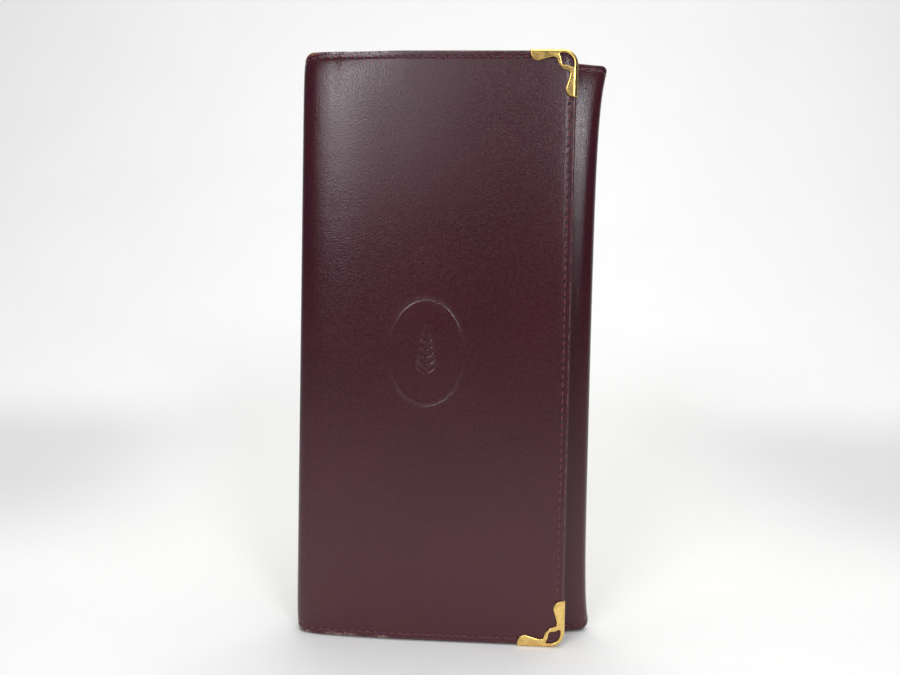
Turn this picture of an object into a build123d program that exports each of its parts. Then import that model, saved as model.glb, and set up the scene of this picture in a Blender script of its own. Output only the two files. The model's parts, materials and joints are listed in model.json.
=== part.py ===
from build123d import *
from math import atan2, degrees, pi
import os

os.makedirs("parts", exist_ok=True)

# A long wallet with a front cover, standing upright on one of its short ends.
# +X runs from the spine to the folded edge, +Y from the front to the back, +Z up.
# The origin is under the middle of the wallet, on the surface that it stands on.
# Every piece is drawn as it lies in the shut wallet, and each body has a placement
# that turns it from there to the wallet's slightly open resting position.
# "Depth" is a distance from the outer face of the back towards the front.

# Overall sizes
height = 180.0
spine_x = -46.0  # outer face of the spine, shut
fold_x = 46.2  # outermost line of the folded edge
back_face_y = 9.6  # outer face of the back
cover_reach = 83.7  # outer face of the spine to the free edge of the corner guards
spine_radius = 5.0  # outer radius of the two folds of the spine
spine_end_radius = 3.0  # rounding of the spine's ends, seen from the front

# Thicknesses of the materials
leather = 1.2
board = 0.5
lining = 0.4
purse_leather = 0.7
purse_cloth = 0.2
slot_leather = 0.5
gusset_leather = 0.4
tape = 0.3

# Free spaces between the layers of the shut wallet
rear_gap = 1.2
purse_cavity = 1.4
front_gap = 1.0
shut_gap = 0.4
clear = 0.1  # between a pleat and the purse

# Depths of the faces, from the back to the cover
back_inside = leather + board + lining
purse_rear = back_inside + rear_gap
purse_front = purse_rear + 2 * purse_leather + purse_cavity
front_inside = purse_front + front_gap
body_thickness = front_inside + lining + leather
pocket_outside = body_thickness + slot_leather
slots_inside = pocket_outside + shut_gap
slip_inside = slots_inside + 3 * slot_leather
lining_inside = slip_inside + lining
edge_inside = lining_inside + lining
cover_board_outside = edge_inside + board
thickness = cover_board_outside + leather

# Body of the wallet
turned_edge = 3.0  # width of the leather folded over the boards
border = 4.0  # from the short ends to the inner pieces
pleat = 12.0  # length of a pleat, in from the short end
fold_radius = body_thickness / 2
fold_centre_x = fold_x - fold_radius
spine_flat_x = spine_x + spine_radius  # where the folds of the spine meet the flat walls
front_mouth_x = spine_x + 12
purse_mouth_x = spine_x + 14
purse_end_x = fold_centre_x - 0.6

# Cover
brass = 0.4
guard_x = spine_x + cover_reach  # outer line of the corner guards
guard_arm = 14.4
guard_corner = 4.6
cover_edge_x = guard_x - brass
cover_bottom = brass
cover_top = height - brass
free_corner = guard_corner - brass
slot_start_x = spine_flat_x + 4
slot_edges = (34.0, 24.0, 14.0)  # front, middle and rear card slot, from the free edge
oval_x = spine_x + 39.6
oval_z = 89.0
oval_radii = (11.75, 17.0)
oval_line = 0.5
oval_depth = 0.2

# Stitches
stitch_pitch = 2.5
stitch_length = 1.9
stitch_width = 0.4
stitch_depth = 0.3
stitch_inset = 2.0

# Zip of the coin purse, as distances in from the spine's outer face
chain_near = 8.55
chain_far = 9.75
tape_line = 9.15
zip_opening = 0.8  # between the two rows of teeth
row_width = 0.6
teeth_bottom = 10.5
tooth_pitch = 1.5
tooth_count = 106
slider_bottom = 20.0
slider_length = 7.0

# Resting position
rest_fold = 1.8  # degrees that each fold of the spine is open
front_share = 0.2  # of the spine fold's angle, that the front wall turns by
purse_share = 0.1

# The fold lines. A bent strip of leather keeps its length when it turns about a line
# at this distance in from its two outer faces.
fold_inset = spine_radius * (1 - pi / 4)
rear_pivot = (spine_x + fold_inset, back_face_y - fold_inset)
front_pivot = (spine_x + fold_inset, back_face_y - thickness + fold_inset)
side_pivot = (fold_x, back_face_y - fold_radius)
split_angle = degrees(atan2(0.1, fold_radius))  # half of the split in the folded edge


def turned(angle, pivot):
    """Placement of a body that has turned about a vertical line."""
    return Pos(pivot[0], pivot[1]) * Rot(0, 0, angle) * Pos(-pivot[0], -pivot[1])


back_rest = Pos(0, 0)
spine_rest = turned(-rest_fold, rear_pivot)
cover_rest = spine_rest * turned(-rest_fold, front_pivot)
front_rest = turned(front_share * rest_fold, side_pivot)
purse_rest = turned(purse_share * rest_fold, side_pivot)


def y_at(depth):
    return back_face_y - depth


def plan(rest, z=0.0):
    """Horizontal plane of a body, in the shut wallet's X and Y."""
    return Plane(rest * Plane.XY.offset(z).location)


def face(rest, depth):
    """Upright plane of a body that looks to the front, in the shut wallet's X and Z."""
    upright = Plane(origin=(0, y_at(depth), 0), x_dir=(1, 0, 0), z_dir=(0, -1, 0))
    return Plane(rest * upright.location)


def end_view(rest, x):
    """Upright plane of a body that looks to the folded edge, in the shut wallet's Y and Z."""
    upright = Plane(origin=(x, 0, 0), x_dir=(0, 1, 0), z_dir=(1, 0, 0))
    return Plane(rest * upright.location)


def save(piece, name):
    piece.part.label = name
    export_step(piece.part, f"parts/{name}.step")


def sheet(name, rest, x_range, z_range, depth_range, corner=0.0):
    """A flat rectangular layer."""
    width = x_range[1] - x_range[0]
    length = z_range[1] - z_range[0]
    with BuildPart() as layer:
        with BuildSketch(face(rest, depth_range[0])):
            with Locations((sum(x_range) / 2, sum(z_range) / 2)):
                if corner:
                    RectangleRounded(width, length, corner)
                else:
                    Rectangle(width, length)
        extrude(amount=depth_range[1] - depth_range[0])
    save(layer, name)


def along_seam(start, end):
    """Middle, direction in degrees and length of a straight seam."""
    run = Vector(*end) - Vector(*start)
    return (Vector(*start) + Vector(*end)) / 2, degrees(atan2(run.Y, run.X)), run.length


def seam_grooves(seams):
    """Sketch of the shallow grooves that the stitches of straight seams lie in."""
    with BuildSketch() as grooves:
        for seam in seams:
            middle, angle, length = along_seam(*seam)
            with Locations(Pos(middle) * Rot(0, 0, angle)):
                Rectangle(length, stitch_width + 0.2)
    return grooves.sketch


def seam_threads(seams):
    """Sketch of every stitch of some straight seams."""
    with BuildSketch() as threads:
        for seam in seams:
            middle, angle, length = along_seam(*seam)
            with Locations(Pos(middle) * Rot(0, 0, angle)):
                with GridLocations(stitch_pitch, 1, int(length / stitch_pitch), 1):
                    Rectangle(stitch_length, stitch_width)
    return threads.sketch


def stitching(name, plane, seams, amount):
    """The stitches of some seams of one face."""
    with BuildPart() as thread:
        with BuildSketch(plane):
            add(seam_threads(seams))
        extrude(amount=amount)
    save(thread, name)


def outline_block(rest, bottom=0.0, top=height, right=fold_x, right_corner=0.0):
    """Block with the outline of the outer leather, rounded at the spine's ends."""
    with BuildPart() as block:
        with BuildSketch(face(rest, -1)) as outline:
            with Locations(((spine_x + right) / 2, (bottom + top) / 2)):
                Rectangle(right - spine_x, top - bottom)
            fillet(outline.vertices().group_by(Axis.X)[0], spine_end_radius)
            if right_corner:
                fillet(outline.vertices().group_by(Axis.X)[-1], right_corner)
        extrude(amount=thickness + 2)
    return block.part


# ------------------------------------------------------------------ back

rear_fold_centre = (spine_flat_x, y_at(spine_radius))
front_fold_centre = (spine_flat_x, y_at(thickness - spine_radius))
side_fold_centre = (fold_centre_x, y_at(fold_radius))
end_seam_heights = (stitch_inset, height - stitch_inset)
back_seams = [((spine_flat_x + 1, z), (fold_centre_x - 1, z)) for z in end_seam_heights]

with BuildPart() as back_leather:
    with BuildSketch(plan(back_rest)):
        with BuildLine():
            CenterArc(rear_fold_centre, spine_radius - leather / 2, 134, -44)
            Line((spine_flat_x, y_at(leather / 2)), (fold_centre_x, y_at(leather / 2)))
            CenterArc(side_fold_centre, fold_radius - leather / 2, 90, split_angle - 90)
        trace(line_width=leather)
    extrude(amount=height)
    for z in (0, height - turned_edge):
        with BuildSketch(plan(back_rest, z)):
            with Locations(((spine_flat_x + fold_centre_x) / 2, y_at(leather + board / 2))):
                Rectangle(fold_centre_x - spine_flat_x, board)
        extrude(amount=turned_edge)
    add(outline_block(back_rest), mode=Mode.INTERSECT)
    with BuildSketch(face(back_rest, 0)):
        add(seam_grooves(back_seams))
    extrude(amount=stitch_depth, mode=Mode.SUBTRACT)
save(back_leather, "back_leather")

stitching("back_stitching", face(back_rest, 0), back_seams, stitch_depth)

sheet(
    "back_board",
    back_rest,
    (spine_flat_x + 1, fold_centre_x),
    (turned_edge, height - turned_edge),
    (leather, leather + board),
)

back_lining_middle = back_inside - lining / 2

with BuildPart() as back_lining:
    with BuildSketch(plan(back_rest, 1)):
        with BuildLine():
            Line((spine_flat_x, y_at(back_lining_middle)), (fold_centre_x, y_at(back_lining_middle)))
            CenterArc(side_fold_centre, fold_radius - back_lining_middle, 90, split_angle - 88)
        trace(line_width=lining)
    extrude(amount=height - 2)
save(back_lining, "back_lining")

# ------------------------------------------------------------------ spine

with BuildPart() as spine_leather:
    with BuildSketch(plan(spine_rest)):
        with BuildLine():
            CenterArc(rear_fold_centre, spine_radius - leather / 2, 138, 42)
            Line(
                (spine_x + leather / 2, y_at(spine_radius)),
                (spine_x + leather / 2, y_at(thickness - spine_radius)),
            )
            CenterArc(front_fold_centre, spine_radius - leather / 2, 180, 42)
        trace(line_width=leather)
    extrude(amount=height)
    add(outline_block(spine_rest), mode=Mode.INTERSECT)
save(spine_leather, "spine_leather")

with BuildPart() as spine_lining:
    with BuildSketch(plan(spine_rest, 2)):
        with Locations((spine_x + leather + lining / 2, y_at(thickness / 2))):
            Rectangle(lining, thickness - 2 * spine_radius)
    extrude(amount=height - 4)
save(spine_lining, "spine_lining")

# ------------------------------------------------------------------ cover

cover_middle = ((spine_flat_x + cover_edge_x) / 2, height / 2)
cover_width = cover_edge_x - spine_flat_x
cover_height = cover_top - cover_bottom
free_seam_x = cover_edge_x - stitch_inset
cover_seams = [
    ((spine_flat_x + 1, z), (guard_x - guard_arm - 1, z))
    for z in (cover_bottom + stitch_inset, cover_top - stitch_inset)
]
cover_seams.append(((free_seam_x, guard_arm + 1), (free_seam_x, height - guard_arm - 1)))

with BuildPart() as cover_leather:
    with BuildSketch(plan(cover_rest, cover_bottom)):
        with BuildLine():
            CenterArc(front_fold_centre, spine_radius - leather / 2, 226, 44)
            Line(
                (spine_flat_x, y_at(thickness - leather / 2)),
                (cover_edge_x, y_at(thickness - leather / 2)),
            )
        trace(line_width=leather)
    extrude(amount=cover_height)
    with BuildSketch(face(cover_rest, edge_inside)):
        with Locations(cover_middle):
            Rectangle(cover_width, cover_height)
        with Locations((cover_middle[0] - turned_edge / 2, cover_middle[1])):
            Rectangle(cover_width - turned_edge, cover_height - 2 * turned_edge, mode=Mode.SUBTRACT)
    extrude(amount=board)
    add(
        outline_block(cover_rest, cover_bottom, cover_top, cover_edge_x, free_corner),
        mode=Mode.INTERSECT,
    )
    with BuildSketch(face(cover_rest, thickness)):
        add(seam_grooves(cover_seams))
    extrude(amount=-stitch_depth, mode=Mode.SUBTRACT)
    with BuildSketch(face(cover_rest, thickness)):
        with Locations((oval_x, oval_z)):
            Ellipse(*oval_radii)
            Ellipse(oval_radii[0] - oval_line, oval_radii[1] - oval_line, mode=Mode.SUBTRACT)
    extrude(amount=-oval_depth, mode=Mode.SUBTRACT)
save(cover_leather, "cover_leather")

stitching("cover_stitching", face(cover_rest, thickness), cover_seams, -stitch_depth)

lining_margin = 2.2  # of leather that shows around the cover's lining

sheet(
    "cover_board",
    cover_rest,
    (spine_flat_x + 1, cover_edge_x - turned_edge),
    (cover_bottom + turned_edge, cover_top - turned_edge),
    (edge_inside, cover_board_outside),
)
sheet(
    "cover_lining",
    cover_rest,
    (spine_flat_x + 1, cover_edge_x - lining_margin),
    (cover_bottom + lining_margin, cover_top - lining_margin),
    (lining_inside, edge_inside),
    corner=2.5,
)
sheet(
    "cover_slip_pocket",
    cover_rest,
    (slot_start_x, cover_edge_x - 8),
    (border, height - border),
    (slip_inside, lining_inside),
    corner=2.0,
)

# The card slots lie on each other in steps, and the seam between their two columns
# follows the steps.
with BuildPart() as card_slot_stitching:
    for step, inset in enumerate(slot_edges):
        covered_x = slot_start_x if step == 0 else cover_edge_x - slot_edges[step - 1]
        seam = ((covered_x + 1, height / 2), (cover_edge_x - inset - 1, height / 2))
        with BuildSketch(face(cover_rest, slots_inside + step * slot_leather)):
            add(seam_threads([seam]))
        extrude(amount=-0.15)
save(card_slot_stitching, "card_slot_stitching")

for step, slot_name in enumerate(("front", "middle", "rear")):
    slot_depth = slots_inside + step * slot_leather
    sheet(
        f"card_slot_{slot_name}",
        cover_rest,
        (slot_start_x, cover_edge_x - slot_edges[step]),
        (border, height - border),
        (slot_depth, slot_depth + slot_leather),
        corner=2.0,
    )


def swapped(points):
    """The same points seen from the other edge of the corner, in reverse order."""
    return [(across, along) for along, across in reversed(points)]


def guard_plate():
    """Openwork front of a corner guard, in distances from the cover's two edges."""
    lobe_end = (guard_arm - 2.0, 3.5)
    scallop = [lobe_end, (9.6, 2.8), (7.5, 2.4), (6.3, 3.2)]
    window_tip = (5.7, 1.5)
    window_side = [window_tip, (5.1, 2.4), (4.9, 3.5)]
    rim = 1.3
    with BuildSketch() as plate:
        with BuildLine():
            CenterArc((guard_corner, guard_corner), guard_corner, 180, 90)
            Line((guard_corner, 0), (guard_arm - 0.3, 0))
            ThreePointArc((guard_arm - 0.3, 0), (guard_arm - 0.4, 2.2), lobe_end)
            Spline(*scallop, (5.3, 5.3), *swapped(scallop))
            ThreePointArc(lobe_end[::-1], (2.2, guard_arm - 0.4), (0, guard_arm - 0.3))
            Line((0, guard_arm - 0.3), (0, guard_corner))
        make_face()
        with BuildLine():
            CenterArc((guard_corner, guard_corner), guard_corner - rim, 180, 90)
            Line((guard_corner, rim), window_tip)
            Spline(*window_side, (4.6, 4.6))
            Spline((4.6, 4.6), *swapped(window_side))
            Line(window_tip[::-1], (rim, guard_corner))
        make_face(mode=Mode.SUBTRACT)
    return plate.sketch


def guard_band(width):
    """Strip of a corner guard along the cover's two edges."""
    with BuildSketch() as band:
        with BuildLine():
            CenterArc((guard_corner, guard_corner), guard_corner, 180, 90)
            Polyline(
                (guard_corner, 0),
                (guard_arm, 0),
                (guard_arm, width),
                (guard_corner, width),
            )
            CenterArc((guard_corner, guard_corner), guard_corner - width, 270, -90)
            Polyline(
                (width, guard_corner),
                (width, guard_arm),
                (0, guard_arm),
                (0, guard_corner),
            )
        make_face()
    return band.sketch


def corner_guard(name, corner_z, up):
    """Brass guard that clips over a free corner; up is 1 at the bottom and -1 at the top."""
    layers = (
        (guard_band(lining_margin), edge_inside - brass, brass),
        (guard_band(brass), edge_inside, thickness - edge_inside),
        (guard_plate(), thickness, brass),
    )
    with BuildPart() as guard:
        for outline, depth, amount in layers:
            corner = Plane(origin=(guard_x, y_at(depth), corner_z), x_dir=(-1, 0, 0), z_dir=(0, up, 0))
            with BuildSketch(Plane(cover_rest * corner.location)):
                add(outline)
            extrude(amount=-up * amount)
    save(guard, name)


corner_guard("corner_guard_bottom", 0, 1)
corner_guard("corner_guard_top", height, -1)

# ------------------------------------------------------------------ front wall

front_seams = [((front_mouth_x + 3, z), (fold_centre_x - 1, z)) for z in end_seam_heights]
mouth_seam_x = front_mouth_x + stitch_inset
front_seams.append(((mouth_seam_x, 4), (mouth_seam_x, height - 4)))
front_leather_middle = body_thickness - leather / 2
front_lining_middle = front_inside + lining / 2
pocket_start_x = front_mouth_x + 8
pocket_end_x = cover_edge_x - 4

with BuildPart() as front_leather:
    with BuildSketch(plan(front_rest)):
        with BuildLine():
            CenterArc(side_fold_centre, fold_radius - leather / 2, -split_angle, split_angle - 90)
            Line(
                (fold_centre_x, y_at(front_leather_middle)),
                (front_mouth_x, y_at(front_leather_middle)),
            )
        trace(line_width=leather)
    extrude(amount=height)
    with BuildSketch(face(front_rest, body_thickness)):
        add(seam_grooves(front_seams))
    extrude(amount=-stitch_depth, mode=Mode.SUBTRACT)
save(front_leather, "front_leather")

stitching("front_stitching", face(front_rest, body_thickness), front_seams, -stitch_depth)

with BuildPart() as front_lining:
    with BuildSketch(plan(front_rest, 1)):
        with BuildLine():
            CenterArc(
                side_fold_centre,
                fold_radius - leather - lining / 2,
                -split_angle - 2,
                split_angle - 88,
            )
            Line(
                (fold_centre_x, y_at(front_lining_middle)),
                (front_mouth_x + 1, y_at(front_lining_middle)),
            )
        trace(line_width=lining)
    extrude(amount=height - 2)
save(front_lining, "front_lining")

sheet(
    "front_pocket",
    front_rest,
    (pocket_start_x, pocket_end_x),
    (border, height - border),
    (body_thickness, pocket_outside),
    corner=2.0,
)
pocket_seams = [
    ((pocket_start_x + 3, z), (pocket_end_x - 1, z))
    for z in (border + stitch_inset, height - border - stitch_inset)
]
pocket_seam_x = pocket_start_x + stitch_inset
pocket_seams.append(((pocket_seam_x, border + 3), (pocket_seam_x, height - border - 3)))
stitching("front_pocket_stitching", face(front_rest, pocket_outside), pocket_seams, 0.15)

# ------------------------------------------------------------------ pleats at the short ends


def gusset(name, rest, depth_range, z_range, up):
    """A pleat folded inwards between two walls; up is 1 where it opens upwards."""
    width = depth_range[1] - depth_range[0]
    middle = (y_at(sum(depth_range) / 2), sum(z_range) / 2)
    with BuildPart() as folded:
        with BuildSketch(end_view(rest, purse_mouth_x)):
            with Locations(middle):
                Rectangle(width, pleat)
            with Locations((middle[0], middle[1] + up * gusset_leather / 2)):
                Rectangle(width - 2 * gusset_leather, pleat - gusset_leather, mode=Mode.SUBTRACT)
        extrude(amount=purse_end_x - purse_mouth_x)
    save(folded, name)


for end_name, z_range, up in (
    ("bottom", (1, 1 + pleat), -1),
    ("top", (height - 1 - pleat, height - 1), 1),
):
    gusset(f"gusset_rear_{end_name}", back_rest, (back_inside, purse_rear - clear), z_range, up)
    gusset(f"gusset_front_{end_name}", front_rest, (purse_front + clear, front_inside), z_range, up)

# ------------------------------------------------------------------ coin purse

purse_middle = (purse_rear + purse_front) / 2
purse_x = (purse_mouth_x, purse_end_x)
purse_z = (border, height - border)
cavity_rear = purse_rear + purse_leather
cavity_front = purse_front - purse_leather
sheet("purse_rear_wall", purse_rest, purse_x, purse_z, (purse_rear, cavity_rear))
sheet("purse_front_wall", purse_rest, purse_x, purse_z, (cavity_front, purse_front))

cloth_start_x = spine_x + 19
cloth_length = height - 2 * border - 1
cloth_middle = ((cloth_start_x + purse_end_x) / 2, height / 2)

with BuildPart() as purse_lining:
    with BuildSketch(face(purse_rest, cavity_rear)):
        with Locations(cloth_middle):
            Rectangle(purse_end_x - cloth_start_x, cloth_length)
    extrude(amount=purse_cavity)
    with BuildSketch(face(purse_rest, cavity_rear + purse_cloth)):
        with Locations((cloth_middle[0] - 1, cloth_middle[1])):
            Rectangle(purse_end_x - cloth_start_x, cloth_length - 2)
    extrude(amount=purse_cavity - 2 * purse_cloth, mode=Mode.SUBTRACT)
save(purse_lining, "purse_lining")


def zip_side(name, towards_front):
    """Half of the zip: its tape and its row of teeth, on one side of the purse's middle."""

    def y_beside(distance):
        return y_at(purse_middle + towards_front * distance)

    row_outside = zip_opening / 2 + row_width
    row_spine = 0.25  # width of the cord that the teeth stand on
    tape_fold = 1.7  # from the middle to where the tape turns back to the purse
    tape_inner = purse_cavity / 2 - tape / 2
    with BuildPart() as zip_tape:
        with BuildSketch(plan(purse_rest, border + 2)):
            with BuildLine():
                FilletPolyline(
                    (spine_x + 18, y_beside(tape_inner)),
                    (spine_x + 13, y_beside(tape_inner)),
                    (spine_x + 10.6, y_beside(tape_fold)),
                    (spine_x + tape_line, y_beside(tape_fold)),
                    (spine_x + tape_line, y_beside(row_outside)),
                    radius=0.3,
                )
            trace(line_width=tape)
        extrude(amount=height - 2 * border - 4)
    save(zip_tape, f"zip_tape_{name}")

    row_length = tooth_count * tooth_pitch
    row_middle_z = teeth_bottom + row_length / 2
    with BuildPart() as zip_teeth:
        with BuildSketch(end_view(purse_rest, spine_x + chain_near)):
            with Locations((y_beside(row_outside - row_spine / 2), row_middle_z)):
                Rectangle(row_spine, row_length)
            with Locations((y_beside(zip_opening / 2 + row_width / 2), row_middle_z)):
                with GridLocations(1, tooth_pitch, 1, tooth_count):
                    Rectangle(row_width, tooth_pitch / 2)
        extrude(amount=chain_far - chain_near)
    save(zip_teeth, f"zip_teeth_{name}")


zip_side("rear", -1)
zip_side("front", 1)

purse_y = y_at(purse_middle)
teeth_top = teeth_bottom + tooth_count * tooth_pitch

with BuildPart() as zip_stops:
    with BuildSketch(end_view(purse_rest, spine_x + chain_near)):
        with Locations((purse_y, teeth_bottom - 1)):
            Rectangle(zip_opening + 2 * row_width, 2)
        with Locations((purse_y, teeth_top + 1)):
            with GridLocations(zip_opening + row_width, 1, 2, 1):
                Rectangle(row_width, 2)
    extrude(amount=chain_far - chain_near)
save(zip_stops, "zip_stops")

# ------------------------------------------------------------------ zip slider and puller

slider_middle_z = slider_bottom + slider_length / 2
plate_gap = 0.25  # between the teeth and each plate of the slider
outer_plate_x = spine_x + chain_near - plate_gap - 0.8
bridge_height = 1.6
bridge_bar = 0.6

with BuildPart() as zip_slider:
    with BuildSketch(end_view(purse_rest, outer_plate_x)):
        with Locations((purse_y, slider_middle_z)):
            RectangleRounded(4.0, slider_length, 1.2)
    extrude(amount=0.8)
    with BuildSketch(end_view(purse_rest, spine_x + chain_far + plate_gap)):
        with Locations((purse_y, slider_middle_z)):
            RectangleRounded(2.5, slider_length, 0.8)
    extrude(amount=0.6)
    with BuildSketch(end_view(purse_rest, outer_plate_x + 0.8)):
        with Locations((purse_y, slider_bottom + slider_length - 1)):
            Rectangle(zip_opening - 0.3, 2)
    extrude(amount=chain_far - chain_near + 2 * plate_gap)
    with BuildSketch(plan(purse_rest, slider_bottom + 1)):
        with Locations((outer_plate_x - bridge_height / 2, purse_y)):
            Rectangle(bridge_height, 1)
    extrude(amount=5)
    with BuildSketch(plan(purse_rest, slider_bottom + 2)):
        with Locations((outer_plate_x - (bridge_height - bridge_bar) / 2, purse_y)):
            Rectangle(bridge_height - bridge_bar, 1)
    extrude(amount=3, mode=Mode.SUBTRACT)
save(zip_slider, "zip_slider")

puller_width = 2.8
puller_top = slider_bottom + 3.05
puller_bar = 0.8
puller_hole = 2.05
puller_tab = 12.5

with BuildPart() as zip_puller:
    with BuildSketch(end_view(purse_rest, outer_plate_x - 0.8)):
        with Locations((purse_y, puller_top - (puller_bar + puller_hole + puller_tab) / 2)):
            RectangleRounded(puller_width, puller_bar + puller_hole + puller_tab, 0.7)
        with Locations((purse_y, puller_top - puller_bar - puller_hole / 2)):
            Rectangle(1.6, puller_hole, mode=Mode.SUBTRACT)
    extrude(amount=0.6)
save(zip_puller, "zip_puller")
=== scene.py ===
import json
from math import atan2, cos, pi, radians, sin, tan

import bmesh
import bpy
import numpy as np
from mathutils import Euler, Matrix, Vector
from mathutils.geometry import delaunay_2d_cdt


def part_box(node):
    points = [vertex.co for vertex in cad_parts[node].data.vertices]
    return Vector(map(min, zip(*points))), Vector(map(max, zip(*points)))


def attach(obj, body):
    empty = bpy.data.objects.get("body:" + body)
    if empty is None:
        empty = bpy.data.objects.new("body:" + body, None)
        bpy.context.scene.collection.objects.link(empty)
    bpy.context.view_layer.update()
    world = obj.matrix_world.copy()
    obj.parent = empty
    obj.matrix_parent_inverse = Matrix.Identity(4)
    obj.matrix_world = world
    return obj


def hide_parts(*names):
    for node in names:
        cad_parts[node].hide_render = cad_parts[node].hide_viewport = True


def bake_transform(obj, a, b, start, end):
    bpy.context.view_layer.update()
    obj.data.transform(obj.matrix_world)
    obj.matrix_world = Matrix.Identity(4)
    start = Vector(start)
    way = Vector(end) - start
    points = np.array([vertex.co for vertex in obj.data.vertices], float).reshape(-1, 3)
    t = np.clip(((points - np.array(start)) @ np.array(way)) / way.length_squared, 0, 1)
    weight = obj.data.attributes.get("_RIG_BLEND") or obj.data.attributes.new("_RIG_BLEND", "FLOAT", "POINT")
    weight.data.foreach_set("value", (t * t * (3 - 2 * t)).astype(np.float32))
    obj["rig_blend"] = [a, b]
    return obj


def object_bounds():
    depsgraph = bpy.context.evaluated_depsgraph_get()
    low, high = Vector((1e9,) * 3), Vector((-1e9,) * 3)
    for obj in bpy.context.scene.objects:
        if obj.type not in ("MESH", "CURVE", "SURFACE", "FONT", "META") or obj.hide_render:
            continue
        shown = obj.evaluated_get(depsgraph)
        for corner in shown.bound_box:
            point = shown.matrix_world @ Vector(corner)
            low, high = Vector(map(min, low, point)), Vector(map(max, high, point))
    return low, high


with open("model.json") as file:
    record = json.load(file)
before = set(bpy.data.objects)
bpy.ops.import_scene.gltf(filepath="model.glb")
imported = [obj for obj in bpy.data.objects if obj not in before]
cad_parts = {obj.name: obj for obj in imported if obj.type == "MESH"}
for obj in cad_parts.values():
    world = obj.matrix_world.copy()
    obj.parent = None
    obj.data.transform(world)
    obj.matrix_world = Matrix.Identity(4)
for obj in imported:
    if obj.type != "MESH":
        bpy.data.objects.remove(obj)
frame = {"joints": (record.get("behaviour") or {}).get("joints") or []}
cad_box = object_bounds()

# A long wallet that stands on one short end: +X from the spine to the folded edge,
# +Y to the back, +Z up. One skin of leather runs from the free edge of the cover,
# round the spine, the back and the folded edge, to the mouth of the front wall.
# Every layer is laid out on it: s is the distance along the skin from the cover's
# free edge, z is the height, and depth is measured inwards from the outer face.
# "rear" is the side of the back, "front" the side of the cover.

mm = 0.001
rng = np.random.default_rng(7)  # for the lean of the stitches

joints = {joint["name"]: joint for joint in frame["joints"]}
height = cad_box[1].z
back_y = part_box("back_leather")[1].y
rear_pivot = np.array(joints["spine_fold_rear"]["pos_m"][:2])
front_pivot = np.array(joints["spine_fold_front"]["pos_m"][:2])
side_pivot = np.array(joints["front_wall_opens"]["pos_m"][:2])
front_rest = radians(-joints["front_wall_opens"]["range_deg"][0])
purse_rest = radians(-joints["coin_purse_opens"]["range_deg"][0])
cover_end_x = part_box("cover_leather")[1].x - 0.4 * mm  # the leather has shrunk a little
mouth_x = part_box("front_leather")[0].x

# Thicknesses
leather = 1.2 * mm
board = 0.5 * mm
lining = 0.4 * mm
cover_edge = leather + board  # thickness of the cover's turned edge
brass = 0.4 * mm
turned_edge = 3 * mm

# Folds
fold_inset = back_y - rear_pivot[1]
cover_leg = 21 * mm  # how far the front fold of the spine reaches into the cover
spine_leg = 5.2 * mm  # how far both folds reach into the spine
back_leg = 6.5 * mm  # how far the rear fold reaches into the back
spine_end_radius = 3 * mm
fold_points = 500  # points that draw each fold of the spine
fold_low_radius = 3.5 * mm
fold_high_radius = 2.2 * mm
side_start_x = 28 * mm  # where the back starts to give way to the folded edge
fold_x = 44.85 * mm
fold_radius = back_y - side_pivot[1]

# Seams
seam_inset = 2 * mm
stitch_pitch = 2.5 * mm
stitch_length = 1.75 * mm
thread_radius = 0.2 * mm
seam_middle = 2.05 * mm  # middle of the finer mesh along a seam


# ------------------------------------------------------------------ the skin


def direction(heading):
    return np.array((cos(heading), sin(heading)))


def crossing(point_a, heading_a, point_b, heading_b):
    """Where two lines of the plan meet."""
    runs = np.column_stack((direction(heading_a), -direction(heading_b)))
    return point_a + np.linalg.solve(runs, point_b - point_a)[0] * direction(heading_a)


def bend(start, corner, end):
    """Soft fold between two straight walls."""
    t = np.linspace(0, 1, fold_points)[:, None]
    return (1 - t) ** 2 * start + 2 * t * (1 - t) * corner + t**2 * end


spine_heading = atan2(*(rear_pivot - front_pivot)[::-1])
rest_fold = pi / 2 - spine_heading
cover_heading = pi - 2 * rest_fold
cover_line = front_pivot + fold_inset * direction(cover_heading + pi / 2)
spine_line = front_pivot + fold_inset * direction(spine_heading + pi / 2)
back_line = np.array((0, back_y))
front_corner = crossing(cover_line, cover_heading, spine_line, spine_heading)
rear_corner = crossing(spine_line, spine_heading, back_line, 0)
cover_end = crossing(cover_line, cover_heading, np.array((cover_end_x, 0)), pi / 2)
cover_in = direction(cover_heading)
spine_in = direction(spine_heading)

front_fold = (front_corner - cover_leg * cover_in, front_corner + spine_leg * spine_in)
rear_fold = (rear_corner - spine_leg * spine_in, rear_corner + back_leg * direction(0))
run = np.vstack(
    (
        cover_end,
        bend(front_fold[0], front_corner, front_fold[1]),
        bend(rear_fold[0], rear_corner, rear_fold[1]),
        (side_start_x, back_y),
    )
)
run_lengths = np.hypot(*np.diff(run, axis=0).T)
run_s = np.concatenate(([0], np.cumsum(run_lengths)))
run_headings = np.unwrap(np.arctan2(*np.diff(run, axis=0).T[::-1]))
run_middles = (run_s[1:] + run_s[:-1]) / 2

s_front_fold = run_s[1]  # the cover's flat part ends here
s_spine = run_s[fold_points : fold_points + 2].mean()  # middle of the spine
s_back = run_s[2 * fold_points]  # the back's flat part starts here
s_side = run_s[-1]  # from here on, side_plan gives the plan
side_flat = fold_x - fold_radius - side_start_x  # between there and the folded edge
s_fold = s_side + side_flat  # the folded edge, from the back
s_fold_end = s_fold + pi * fold_radius  # to the front wall
s_mouth = s_fold_end + side_flat + side_start_x - mouth_x  # the front wall's free edge
fold_ease = np.linspace(-3, 3, 5) * mm  # the folded edge is averaged over these shifts
fold_reach = np.mean(np.cos(fold_ease / fold_radius))  # which draws it in to this share


def smooth(value):
    value = np.clip(value, 0, 1)
    return value * value * (3 - 2 * value)


def ridge(away, width):
    """1 on a line, falling off softly on both sides."""
    return np.exp(-((away / width) ** 2))


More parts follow.
